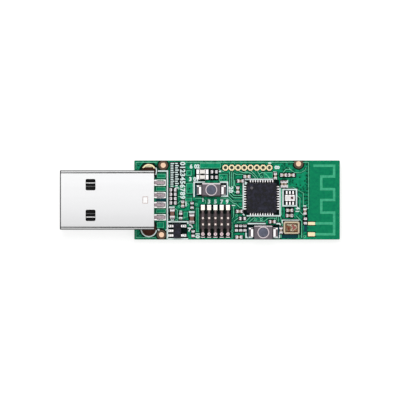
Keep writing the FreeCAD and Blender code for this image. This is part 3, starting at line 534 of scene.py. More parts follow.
def keep_on_board(bm, margin=0.03):
    """Draws in what would reach past the board's long edges."""
    for vert in bm.verts:
        vert.co.y = max(board_bottom_edge + margin, min(board_top_edge - margin, vert.co.y))


def make_object(name, bm):
    """Turns a mesh in millimetres into an object in the scene."""
    bmesh.ops.scale(bm, vec=(MM, MM, MM), verts=bm.verts)
    bmesh.ops.recalc_face_normals(bm, faces=bm.faces)
    mesh = bpy.data.meshes.new(name)
    bm.to_mesh(mesh)
    bm.free()
    made = bpy.data.objects.new(name, mesh)
    bpy.context.scene.collection.objects.link(made)
    return made


def make_piece(name, bm, look, smooth=False):
    """Turns a mesh in millimetres into a piece that rides on the stick."""
    piece = make_object(name, bm)
    piece.data.materials.append(finish(look))
    if smooth:
        piece.data.shade_smooth()
        piece.data.set_sharp_from_angle(angle=math.radians(40))
    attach(piece, "stick")


def islands(node):
    """The lowest and highest corner of each separate body in a solid's mesh, in millimetres."""
    bm = bmesh.new()
    bm.from_mesh(nodes[node].data)
    bmesh.ops.remove_doubles(bm, verts=bm.verts, dist=1e-7)
    left, found = set(bm.verts), []
    while left:
        edge = [left.pop()]
        low, high = edge[0].co.copy(), edge[0].co.copy()
        while edge:
            vert = edge.pop()
            low = Vector(map(min, low, vert.co))
            high = Vector(map(max, high, vert.co))
            for link in vert.link_edges:
                other = link.other_vert(vert)
                if other in left:
                    left.remove(other)
                    edge.append(other)
        found.append((low / MM, high / MM))
    bm.free()
    return sorted(found, key=lambda box: (round(box[0].x, 3), round(box[0].y, 3)))


# Layers on the board's face, in millimetres above it

gap_layer = 0.006
pour_layer = 0.012
track_layer = 0.02
via_layer = 0.024
ink_foot = 0.022
sunk = 0.02                  # how deep inside the board the layers start
layer_foot = board_top - sunk
pad_foot = pad_top - 0.01    # where solder starts, inside the pads
film_top = pad_top + 0.012   # the top of a film of painted shade or of mask on the pads


def on_board(height):
    """The level of a layer that stands that high on the board's face."""
    return board_top + height


def underside(x, y):
    """The level of the board's lower face, which the ground plane lowers where it lies."""
    lowest = board_low.z / MM
    plane_left, plane_top, foil = -8.41, 5.7, 0.04
    return lowest if x > plane_left and y < plane_top else lowest + foil


# Places on the board, in millimetres from the middle of the stick

contact_nodes = ("contact_power", "contact_data_minus", "contact_data_plus", "contact_ground")
pressed_mark = (-11.6, -10.5, 0.7)   # x from, x to, and half its width
window_end = -20.0           # the windows end before this, and the contacts' bends come after it
painted_fold_line = 5.47             # from the plug's middle to the painted shade line along each fold
plastic_painted_line = 2.75         # from the plug's middle to the painted highlight line on the plastic
contact_painted_line = 3.45         # and to the one on the outer contacts

wire_hole_pitch = 1.27
wire_holes = [(5.155 + number * wire_hole_pitch, 6.55) for number in range(8)]
lug_holes = [(-10.36, -5.85), (-10.36, 5.85)]
lug_plating, wire_plating = 1.5, 0.68    # how far from a hole's middle its plating reaches
unshaded_plating_from = 6.45        # the far lug's plating is clear of flux and painted shade from this far across the board
header_middle = -4.5         # between the two rows of the header's feet
antenna_zone = 21.95         # no copper under the mask from here to the far end

pour_blocks = [              # x from, x to, y from, y to
    (-8.72, -7.31, -5.66, -4.52), (-8.7, -6.95, 4.45, 5.3), (-8.9, -6.95, 1.85, 2.6),
    (-8.9, -6.95, -2.6, -1.9), (-2.79, -1.64, 4.91, 6.02), (-2.79, -1.45, 1.31, 3.45),
    (-2.97, -1.6, -0.28, 0.45), (-3.32, -2.45, -3.53, -2.38), (-0.02, 4.2, 6.43, 7.45),
    (3.83, 5.57, 3.8, 5.27), (-0.83, -0.22, -6.45, -1.57), (12.9, 14.7, 4.45, 5.65)]

open_pours = [[(18.2, 5.3), (19.2, 2.95), (20.4, 2.5), (21.35, 3.3), (21.35, 5.9), (19.4, 5.9)],
              [(2.1, 4.2), (3.7, 3.75), (3.7, 6.2), (4.1, 6.35), (2.1, 6.35)],
              [(14.8, 5.8), (16.2, 5.9), (16.2, 7.3), (14.95, 7.2)]]

painted_shade_plates = [             # painted shade: dark mask where shade falls between close pads
    (-6.42, -4.5, -1.15, 2.6), (-6.45, -2.55, -7.85, -4.55), (-1.05, 3.85, 3.95, 6.3),
    (-0.1, 6.35, -7.75, -0.9), (8.9, 16.05, -3.05, 4.05), (16.95, 19.4, -1.05, 2.0),
    (16.2, 19.5, 4.5, 5.6), (16.65, 20.35, -7.1, -4.2), (-1.05, 5.4, 0.7, 3.45),
    (9.4, 16.0, -7.75, -4.95), (17.2, 19.0, -3.7, -1.5), (7.0, 9.5, -6.6, -4.8),
    (-6.15, -3.0, 2.9, 7.72), (-2.35, -1.0, -4.85, -2.15), (-6.3, -5.0, -3.9, -1.25),
    (20.75, 21.8, -4.95, -1.5)]

# dark teal patches on the mask; the one between the contact tails is painted shade
dark_teal_plates = [(16.6, 19.7, -7.78, -7.1), (21.05, 21.65, -6.45, -5.15), (-1.1, -0.5, 0.75, 1.3),
               (9.5, 11.2, -7.9, -7.65), (-8.9, -6.95, -0.5, 0.5)]

signal_tracks = [
    [(5.95, 5.7), (5.95, 1.25), (6.75, 0.45), (8.75, 0.45)],
    [(6.33, 5.7), (6.33, 1.5), (6.88, 0.95), (8.75, 0.95)],
    [(6.72, 5.7), (6.72, 1.88), (7.02, 1.58), (7.35, 1.58)],
    [(5.62, 0.8), (6.62, -0.2), (8.75, -0.2)],
    [(4.03, 0.41), (5.5, 0.35), (6.86, -0.68), (7.35, -0.8), (8.08, -1.53), (8.75, -1.53)],
    [(6.8, -1.41), (6.8, -3.43), (6.44, -3.84)],
    [(7.7, -3.65), (6.9, -4.3), (6.9, -4.6)],
    [(6.5, -4.5), (6.5, -7.68)],
    [(10.16, -3.47), (9.2, -4.38), (7.5, -4.5)],
    [(11.1, -3.5), (10.5, -3.95), (9.9, -4.5)],
    [(10.7, -4.25), (13.0, -4.3), (13.8, -3.67), (15.2, -3.67)],
    [(11.9, -3.45), (12.35, -3.8), (12.8, -3.45)],
    [(15.45, -3.4), (15.45, -4.35)], [(15.85, -3.4), (15.85, -4.35)],
    [(16.3, -3.4), (16.5, -4.2), (16.75, -5.3)],
    [(6.5, 5.75), (7.3, 5.2), (8.7, 5.2)],
    [(7.9, 5.85), (8.7, 5.55), (9.6, 5.5)],
    [(9.1, 5.85), (10.4, 5.35), (11.15, 4.6), (11.15, 4.25)],
    [(10.35, 5.85), (10.9, 5.4), (11.6, 4.6), (11.6, 4.25)],
    [(11.6, 5.85), (12.0, 5.25), (12.0, 4.9)],
    [(12.1, 5.25), (12.5, 5.55), (13.0, 5.5), (13.7, 4.9), (14.1, 4.35)],
    [(19.57, 0.98), (20.26, 0.37), (20.2, -1.2), (20.22, -2.32), (20.99, -3.17), (21.23, -3.23)],
    [(19.45, -3.17), (20.6, -4.3), (20.6, -7.7)],
    [(20.0, -6.95), (20.0, -7.65)], [(16.4, -6.9), (16.4, -7.65)],
    [(16.5, 4.0), (16.5, 2.5), (16.5, -3.1)], [(16.85, 5.6), (17.4, 6.2), (18.5, 6.2)],
    [(-4.5, -0.7), (-3.95, -0.17), (-3.5, -0.17)],
    [(-5.06, -1.73), (-4.6, -2.03), (-4.6, -3.65), (-3.0, -3.65)],
    [(-4.45, 0.7), (-4.1, 0.7), (-2.9, 0.62)], [(-4.45, 2.05), (-3.9, 2.6), (-2.95, 2.6)],
    [(-1.0, 0.35), (0.2, 0.35), (1.1, -0.1), (1.1, -0.7)],
    [(7.0, 4.0), (7.0, 3.0), (7.4, 2.6)], [(3.8, 6.3), (4.3, 5.9), (4.9, 5.75)],
]

pour_edges = [
    [(-2.9, 7.62), (21.98, 7.62), (21.98, -1.75), (20.95, -1.75)],
    [(-12.95, 7.62), (-8.7, 7.62)], [(-12.95, -7.62), (-9.0, -7.62)], [(-12.95, 7.62), (-12.95, 6.25)],
    [(-12.95, -7.62), (-12.95, -6.25)],
    [(17.2, 2.62), (18.81, 2.6), (20.91, 1.41), (20.93, -1.2)],
    [(18.0, 6.6), (18.4, 6.0), (19.2, 5.55), (20.3, 5.5), (21.2, 6.0), (21.6, 6.7)],
    [(-5.6, -1.2), (-4.9, -1.2)], [(7.0, 7.62), (7.0, 7.3)],
]

ringed_vias = [(7.43, -3.11), (6.5, -6.35), (21.17, -7.36), (-0.77, -0.86), (-4.2, -1.27), (12.42, 4.7),
               (-2.57, -0.86), (4.35, 4.5), (-4.75, -4.15), (15.3, -3.9), (11.2, -4.0), (12.4, -3.95)]
plain_vias = [(18.0, 7.2), (21.2, 3.86), (19.5, 3.17), (20.3, 2.98), (20.4, 2.2), (20.98, 2.2), (21.1, 1.5),
              (21.2, 0.7), (17.5, 6.6), (21.3, -0.1), (21.3, -0.9), (4.9, 4.9), (5.2, 4.2), (4.6, 4.1),
              (-2.2, 5.4), (-2.1, 2.3), (-2.3, 1.7), (16.6, 6.9), (18.8, 4.0), (20.2, 4.6), (-12.4, 7.0),
              (-12.2, -6.9)]
plain_vias += [(21.62, 7.2 - 0.72 * number) for number in range(13)]

frames = [                   # printed lines
    [(-8.52, 5.86), (-6.6, 5.86), (-6.6, -7.88)], [(-8.6, -5.95), (-8.2, -6.1)],
    [(-6.95, -6.0), (-6.65, -6.15)], [(-6.46, -4.4), (-2.45, -4.4), (-2.45, -4.85)],
    [(0.99, 3.62), (-1.2, 3.62), (-1.2, 0.6)], [(4.0, 3.62), (5.55, 3.62), (5.55, 0.78), (4.25, 0.78)],
    [(9.65, -4.78), (13.3, -4.78)], [(15.4, -4.78), (16.12, -4.78), (16.3, -5.1)],
    [(16.07, -6.75), (16.07, -7.58), (14.75, -7.58)], [(9.32, -6.6), (9.32, -7.58), (10.65, -7.58)],
    [(8.77, 3.4), (8.77, -1.95)], [(9.07, 4.18), (14.8, 4.18)], [(16.2, 2.5), (16.2, -3.2), (9.45, -3.2)],
    [(8.68, -2.8), (9.0, -3.12)], [(16.7, -4.75), (16.7, -4.12), (20.1, -4.12)],
    [(-6.6, -7.88), (-2.4, -7.88)], [(-5.9, -3.98), (-5.6, -4.2), (-5.3, -3.98)],
    [(-2.2, -4.95), (-1.75, -5.15), (-1.5, -5.6)], [(-2.5, -5.7), (-1.95, -5.7), (-2.3, -6.4)]]
closed_frames = [[(16.8, 2.13), (19.53, 2.13), (19.53, -1.18), (16.8, -1.18)]]
arrow_head = [(9.05, 3.85), (9.9, 3.3), (9.05, 3.05)]
bars = [                     # printed bars: x, y, length along X, length along Y
    (-5.7, -1.48, 1.15, 0.32), (-1.68, -2.43, 1.15, 0.34), (6.77, -1.1, 0.66, 0.2),
    (14.11, 7.48, 0.6, 0.24), (15.15, 5.68, 0.6, 0.2), (17.72, 3.75, 0.2, 0.6), (17.72, 2.8, 0.2, 0.6),
    (18.9, -2.0, 0.2, 0.5), (18.9, -3.1, 0.16, 0.6), (19.7, -2.3, 0.75, 0.2), (21.2, -1.2, 0.6, 0.22),
    (-3.9, -2.27, 0.5, 0.2), (-2.85, -0.8, 0.22, 1.0), (4.05, 5.78, 0.4, 0.3)]
number_labels = [            # plain digits, with place, height and quarter turns
    ("6", -1.8, 6.75, 0.75, 0), ("02", -0.62, 6.75, 0.75, 0), ("3", -1.95, 4.2, 0.75, 0),
    ("01", -0.8, 4.2, 0.75, 0), ("8", 15.55, 6.6, 0.95, -1), ("2", 6.2, 2.45, 0.85, -1),
    ("0", 6.2, 1.8, 0.85, -1), ("1", 0.58, 0.0, 0.65, 0), ("3", 1.85, -0.36, 0.75, 0),
    ("5", 3.12, -0.36, 0.75, 0), ("7", 4.39, -0.36, 0.75, 0), ("9", 5.5, -0.36, 0.75, 0),
    ("10", -0.52, -7.15, 0.8, -1), ("4", 19.75, -1.65, 0.7, -1)]

small_parts = {              # node and the colour of its middle
    "usb_line_resistors": "black", "supply_capacitor_1": "brown", "supply_capacitor_2": "brown",
    "supply_bypass_capacitor": "beige", "pull_up_resistors": "black", "lamp_resistors": "black",
    "chip_bypass_capacitors": "beige", "chip_supply_capacitors": "beige", "chip_bias_resistor": "black",
    "reset_capacitor": "brown", "port_resistors": "black", "port_capacitor": "beige",
    "balun_capacitors": "beige", "crystal_capacitor": "beige", "antenna_match_capacitor": "beige",
    "antenna_match_resistor": "black"}


def each_small_part():
    """Each small part's lowest and highest corner, and 0 where it lies along X or 1 along Y."""
    for node in sorted(small_parts):
        for low, high in islands(node):
            yield low, high, 0 if high.x - low.x > high.y - low.y else 1


def chip_lands():
    """Each land round the chip: if it points along X, which way, the body's side there, and its place."""
    low, high = corners("radio_chip_body")
    centre = (low + high) / 2
    for start, end in islands("radio_chip_lands"):
        if (end - start).length > 2:            # the large pad under the body
            continue
        place = (start + end) / 2
        axis = 0 if end.y - start.y < 0.3 else 1
        sign = -1 if place[axis] < centre[axis] else 1
        yield axis == 0, sign, (low if sign < 0 else high)[axis], place[1 - axis]


class STICK_OT_effects(bpy.types.Operator):
    """Makes the shared effects that the finishes use"""

    bl_idname = "stick.effects"
    bl_label = "Shared effects"

    def execute(self, context):
        grain_effect("Fine grain", (1, 1, 1), 3)
        grain_effect("Brushed grain", (0.06, 1, 1), 2)
        grain_effect("Solder skin", (1, 1, 0.5), 1)
        cloth_effect()
        fold_effect()
        window_effect()
        return {"FINISHED"}


class STICK_OT_stage(bpy.types.Operator):
    """Sets up the floor, the light and the camera"""

    bl_idname = "stick.stage"
    bl_label = "Stage"

    def execute(self, context):
        scene = context.scene
        look = scene.stick_stage
        scene.view_settings.view_transform = "Standard"
        self.make_room(scene, look)
        self.make_floor(scene)
        self.make_lamp(scene, "key_lamp", (-0.01, 0.085, 0.27), look.key_power)
        self.make_lamp(scene, "side_lamp", (-0.05, 0.26, 0.17), look.side_power)
        camera = bpy.data.cameras.new("camera")
        camera.lens = look.lens
        camera.sensor_width = 36
        camera.clip_end = 10
        holder = bpy.data.objects.new("camera", camera)
        scene.collection.objects.link(holder)
        holder.location = (0, 0, pad_top * MM + look.picture_width * look.lens / camera.sensor_width)
        scene.camera = holder
        return {"FINISHED"}

    def make_room(self, scene, look):
        """A white room for the camera, an even fill, and for shine a bright roof over a dark band."""
        world = bpy.data.worlds.new("room")
        scene.world = world
        world.use_nodes = True
        tree = world.node_tree
        tree.nodes.clear()

        def glow(shade, strength):
            return add_node(tree, "ShaderNodeBackground", {0: shade, 1: strength}).outputs[0]

        def either(share, first, second):
            return add_node(tree, "ShaderNodeMixShader", {0: share, 1: first, 2: second}).outputs[0]

        path = add_node(tree, "ShaderNodeLightPath").outputs
        shine = figure(tree, "MAXIMUM", path["Is Glossy Ray"], path["Is Transmission Ray"])
        direction = add_node(tree, "ShaderNodeTexCoord").outputs["Generated"]
        height = add_node(tree, "ShaderNodeSeparateXYZ", {0: direction}).outputs["Z"]
        bands = ramp(tree, height, (0.0, 0.73), (0.5, 0.73), (0.62, 0.55), (0.70, 0.11), (0.93, 0.09),
                     (0.972, 0.9), (1.0, 0.98))
        white = (1, 1, 1, 1)
        lit = either(shine, glow(white, look.fill), glow(bands, 1.33))
        seen = either(path["Is Camera Ray"], lit, glow(white, 1.0))
        tree.links.new(seen, add_node(tree, "ShaderNodeOutputWorld").inputs[0])

    def make_floor(self, scene):
        """A pale floor that shows white, keeps the stick's shadow and can be seen through from below."""
        reach, margin = 0.6, 0.0004
        mesh = bpy.data.meshes.new("floor")
        corner_points = [(x, y, 0) for x, y in rectangle(-reach, reach, -reach, reach)]
        mesh.from_pydata(corner_points, [], [(0, 1, 2, 3)])
        floor = bpy.data.objects.new("floor", mesh)
        scene.collection.objects.link(floor)
        pale = bpy.data.materials.new("floor white")
        pale.use_nodes = True
        tree = pale.node_tree
        shader = tree.nodes["Principled BSDF"]
        shader.inputs["Base Color"].default_value = grey
        shader.inputs["Roughness"].default_value = 1
        shader.inputs["Specular IOR Level"].default_value = 0
        shader.inputs["Emission Color"].default_value = (1, 1, 1, 1)
        parts = object_place(tree)[1]
        sides = []
        for axis in (0, 1):
            sides.append(figure(tree, "MULTIPLY",
                                figure(tree, "GREATER_THAN", parts[axis], board_low[axis] + margin),
                                figure(tree, "LESS_THAN", parts[axis], board_high[axis] - margin)))
        beneath = figure(tree, "MULTIPLY", *sides)
        path = add_node(tree, "ShaderNodeLightPath").outputs
        seen = figure(tree, "MULTIPLY", path["Is Camera Ray"], figure(tree, "SUBTRACT", 1.0, beneath))
        shone = figure(tree, "MULTIPLY_ADD", path["Is Glossy Ray"], 0.3, seen)
        bounced = figure(tree, "MULTIPLY", path["Is Diffuse Ray"], beneath)
        glow = figure(tree, "MULTIPLY", figure(tree, "ADD", shone, bounced), 0.72)
        tree.links.new(glow, shader.inputs["Emission Strength"])
        see_through = add_node(tree, "ShaderNodeBsdfTransparent").outputs[0]
        behind = add_node(tree, "ShaderNodeNewGeometry").outputs["Backfacing"]
        faces = add_node(tree, "ShaderNodeMixShader", {0: behind, 1: shader.outputs[0], 2: see_through})
        tree.links.new(faces.outputs[0], tree.nodes["Material Output"].inputs[0])
        mesh.materials.append(pale)

    def make_lamp(self, scene, name, place, power):
        """A soft square lamp that faces the stick and that neither the camera nor a reflection sees."""
        light = bpy.data.lights.new(name, "AREA")
        light.size = 0.1
        light.energy = power
        lamp = bpy.data.objects.new(name, light)
        scene.collection.objects.link(lamp)
        lamp.location = place
        lamp.rotation_mode = "QUATERNION"
        lamp.rotation_quaternion = (-Vector(place)).to_track_quat("-Z", "Y")
        lamp.visible_camera = False
        lamp.visible_glossy = False


class STICK_OT_plug(bpy.types.Operator):
    """Finishes the plug's shell, its black inside and its contacts"""

    bl_idname = "stick.plug"
    bl_label = "Plug"

    def execute(self, context):
        low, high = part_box("plug_shell")
        # The shell's finish paints shade lines along its folds and mouth, and a light falloff across its
        # width.
        new_finish("satin nickel", "metal.nickel", metal=1, rough=0.24, effect="Folded sheet", specular=0.5,
                   **{"Mouth": low.x, "Half width": high.y, "Crease": painted_fold_line * MM})
        coat_node("plug_shell", "satin nickel", "pressed nickel", "pressed edge")
        self.press_mark(high.z / MM)
        # The plastic and the contacts get painted shade under the windows, and a painted highlight line each.
        under = {"effect": "Under the windows", "Window end": window_end * MM, "Reach": 0.08 * MM}
        new_finish("plug plastic", "parts.insulator", metal=0, rough=0.45, specular=0.3,
                   Line=(*paint(150, 150, 152), 1), Crown=plastic_painted_line * MM, **under)
        new_finish("contact gold", "metal.gold", metal=1, rough=0.25, specular=0.5,
                   Line=(*paint(250, 250, 250), 1), Crown=contact_painted_line * MM, **under)
        coat_node("plug_insulator", "plug plastic")
        tail_top = pad_top + 1.2
        for name in contact_nodes:
            coat_node(name, "contact gold", "contact tail", pick=lambda face: face.center.z / MM < tail_top)
        return {"FINISHED"}

    def press_mark(self, top):
        """Presses a shallow mark with sloping sides into the roof, over the boss on its inner face."""
        x0, x1, half = pressed_mark
        depth, slope = 0.1, 0.12
        rings = []
        for level, inset in ((top - depth, slope), (top + depth, -slope)):
            outline = rectangle(x0 + inset, x1 - inset, inset - half, half - inset)
            rings.append([(x, y, level) for x, y in outline])
        bm = bmesh.new()
        add_loft(bm, rings)
        tool = make_object("pressed_mark_tool", bm)
        tool.hide_render = True
        for face in tool.data.polygons:
            # the mark's floor keeps pressed nickel, its sloping walls get a painted shade
            face.material_index = 1 if face.normal.z < -0.9 else 2
        cut = nodes["plug_shell"].modifiers.new("pressed mark", "BOOLEAN")
        cut.operation = "DIFFERENCE"
        cut.solver = "EXACT"
        cut.material_mode = "INDEX"
        cut.object = tool


class STICK_OT_board(bpy.types.Operator):
    """Finishes the bare board: mask on its faces, glass cloth at its cut edge, plating in its holes"""

    bl_idname = "stick.board"
    bl_label = "Board"

    def execute(self, context):
        self.two_zone_mask()
        coat_node("circuit_board", "board mask", "cut laminate", "plated gold", "aged plating",
                  pick=self.zone)
        return {"FINISHED"}

    def zone(self, face):
        """0 for the mask, 1 for the cut edge, 2 for bright plating and 3 for plating darkened by flux and
        painted shade.
        """
        x, y, z = face.center / MM
        near_lug = any(math.dist((x, y), hole) < lug_plating for hole in lug_holes)
        near_wire = any(math.dist((x, y), hole) < wire_plating for hole in wire_holes)
        if abs(face.normal.z) <= 0.9:
            return 3 if near_lug or near_wire else 1
        if z <= board_top + 0.01 or not (near_lug or near_wire):
            return 0
        return 2 if near_wire or y > unshaded_plating_from else 3

    def two_zone_mask(self):
        """Mottled mask over the copper pour, and a less mottled green round the antenna."""
        tree = finish("board mask").node_tree
        over_pour = tree.nodes["Group"]
        plain = add_node(tree, "ShaderNodeGroup", node_tree=over_pour.node_tree)
        plain.inputs["Colour"].default_value = (*tone("board.laminate"), 1)
        plain.inputs["Shade"].default_value = (*paint(2, 112, 88), 1)
        plain.inputs["Mottle"].default_value = 0.5
        along = object_place(tree)[1]["X"]
        zone = figure(tree, "GREATER_THAN", along, antenna_zone * MM)
        tree.links.new(blend(tree, zone, over_pour.outputs["Colour"], plain.outputs["Colour"]),
                       tree.nodes["Principled BSDF"].inputs["Base Color"])


class STICK_OT_tracks(bpy.types.Operator):
    """Lays the copper under the mask: pours, tracks with their gaps, and vias"""

    bl_idname = "stick.tracks"
    bl_label = "Tracks and vias"

    def execute(self, context):
        look = context.scene.stick_board
        width, gap = look.track_width / MM, look.gap_width / MM
        self.lay_gaps(width, gap)
        self.lay_plates()
        self.lay_tracks(width)
        self.lay_vias(look.via_radius / MM)
        return {"FINISHED"}

    def lay_gaps(self, width, gap):
        """The bare gaps round the tracks and the pours."""
        bm = bmesh.new()
        for points in signal_tracks:
            add_strip(bm, points, width + 2 * gap, layer_foot, on_board(gap_layer))
        for points in pour_edges:
            add_strip(bm, points, width + 1.2 * gap, layer_foot, on_board(gap_layer * 0.8))
        for x0, x1, y0, y1 in pour_blocks:
            add_box(bm, x0 - gap, x1 + gap, y0 - gap, y1 + gap, layer_foot, on_board(gap_layer * 0.6))
        make_piece("track_gaps", bm, "mask in gaps")

    def lay_plates(self):
        """Painted shade between close pads and round each small part, dark teal patches, and small pours."""
        bm = bmesh.new()
        for box in painted_shade_plates:
            add_box(bm, *box, layer_foot, on_board(gap_layer * 1.3))
        # painted shade: a dark plate round each small part and its pads
        past_end, past_side = 0.42, 0.2
        for low, high, axis in each_small_part():
            along = (low[axis] - past_end, high[axis] + past_end)
            across = (low[1 - axis] - past_side, high[1 - axis] + past_side)
            add_turned_box(bm, axis == 0, along, across, layer_foot, on_board(gap_layer * 1.4))
        make_piece("mask_between_pads", bm, "mask between pads")
        bm = bmesh.new()
        for box in dark_teal_plates:
            add_box(bm, *box, layer_foot, on_board(gap_layer * 1.5))
        make_piece("inner_copper_patches", bm, "mask over inner copper")
        bm = bmesh.new()
        for box in pour_blocks:
            add_box(bm, *box, layer_foot, on_board(pour_layer))
        for outline in open_pours:
            add_plate(bm, outline, layer_foot, on_board(gap_layer * 0.5))
        make_piece("pour_patches", bm, "mask over pour")

    def lay_tracks(self, width):
        """The tracks, and the bright rims of the pours."""
        rim_top, rim = on_board(track_layer - 0.003), width * 0.3
        bm = bmesh.new()
        for points in signal_tracks:
            add_strip(bm, points, width, layer_foot, on_board(track_layer))
        for points in pour_edges:
            add_strip(bm, points, width * 0.8, layer_foot, rim_top)
        for x0, x1, y0, y1 in pour_blocks:
            outline = rectangle(x0 + rim, x1 - rim, y0 + rim, y1 - rim)
            add_strip(bm, outline, width * 0.55, layer_foot, rim_top, loop=True)
        make_piece("signal_tracks", bm, "mask over track")

    def lay_vias(self, radius):
        """Small plated holes under the mask, on both faces of the board."""
        rings, wells = bmesh.new(), bmesh.new()
        for x, y in ringed_vias:
            add_ring(rings, x, y, radius * 0.5, radius, layer_foot, on_board(via_layer))
            add_ring(wells, x, y, 0, radius * 0.55, layer_foot, on_board(track_layer))
        for x, y in plain_vias:
            add_ring(wells, x, y, 0, radius * 0.62, layer_foot, on_board(track_layer))
        for x, y in ringed_vias + plain_vias:
            under = underside(x, y)
            add_ring(rings, x, y, radius * 0.55, radius, under - 0.012, under + sunk)
            add_ring(wells, x, y, 0, radius * 0.58, under - 0.008, under + sunk)
        make_piece("via_rings", rings, "mask over track")
        make_piece("via_wells", wells, "mask in gaps")


class STICK_OT_plating(bpy.types.Operator):
    """Finishes the antenna, the plated places and the alignment marks"""

    bl_idname = "stick.plating"
    bl_label = "Antenna, pads and marks"

    def execute(self, context):
        coat_node("antenna_track", "mask over antenna")
        coat_node("antenna_pads", "plated gold")
        coat_node("solder_pads", "bright solder")
        coat_node("alignment_marks", "bare copper")
        recolour("lug solder", self.lug_colour)
        coat_node("lug_solder", "bright solder", "lug solder", pick=lambda face: face.center.z / MM > 0.5)
        self.pads_below()
        self.open_mask()
        return {"FINISHED"}

    def lug_colour(self, tree):
        """Solder darkened brown by flux and painted shade beside the plug, and still bright past the far lug.
        """
        starts, ends = 0.00658, 0.00672      # in metres across the board
        far = spread(tree, object_place(tree)[1]["Y"], starts, ends)
        return ramp(tree, far, (0.0, paint(70, 42, 36)), (1.0, paint(250, 232, 196)))

    def pads_below(self):
        """The pads round the wire holes and the lugs on the board's underside."""
        bm = bmesh.new()
        for holes, inner, outer in ((wire_holes, 0.36, 0.6), (lug_holes, 1.2, 1.47)):
            for x, y in holes:
                add_ring(bm, x, y, inner, outer, underside(x, y) - 0.03, underside(x, y) + sunk)
        make_piece("pads_below", bm, "plated gold")

    def open_mask(self):
        """The round openings at the alignment marks, and the dark rims where the mask stops."""
        floors, rims = bmesh.new(), bmesh.new()
        for low, high in islands("alignment_marks"):
            x, y = (low.x + high.x) / 2, (low.y + high.y) / 2
            for bm, radius, level in ((rims, 1.22, 0.016), (floors, 0.95, 0.019)):
                add_plate(bm, circle(x, y, radius, 36), layer_foot, on_board(level))
        keep_on_board(floors, 0.02)
        keep_on_board(rims, 0.02)
        make_piece("mark_openings", floors, "bare glass cloth")
        make_piece("mark_opening_rims", rims, "mask round openings")
        shade = bmesh.new()
        for holes, inner, outer in ((wire_holes, 0.55, 0.78), (lug_holes, 1.4, 1.95)):
            for x, y in holes:
                add_ring(shade, x, y, inner, outer, layer_foot, on_board(gap_layer * 1.2))
        for low, high in islands("antenna_pads"):
            add_box(shade, low.x - 0.2, high.x + 0.2, low.y - 0.16, high.y + 0.16,
                    layer_foot, on_board(gap_layer))
        make_piece("mask_openings", shade, "mask round openings")


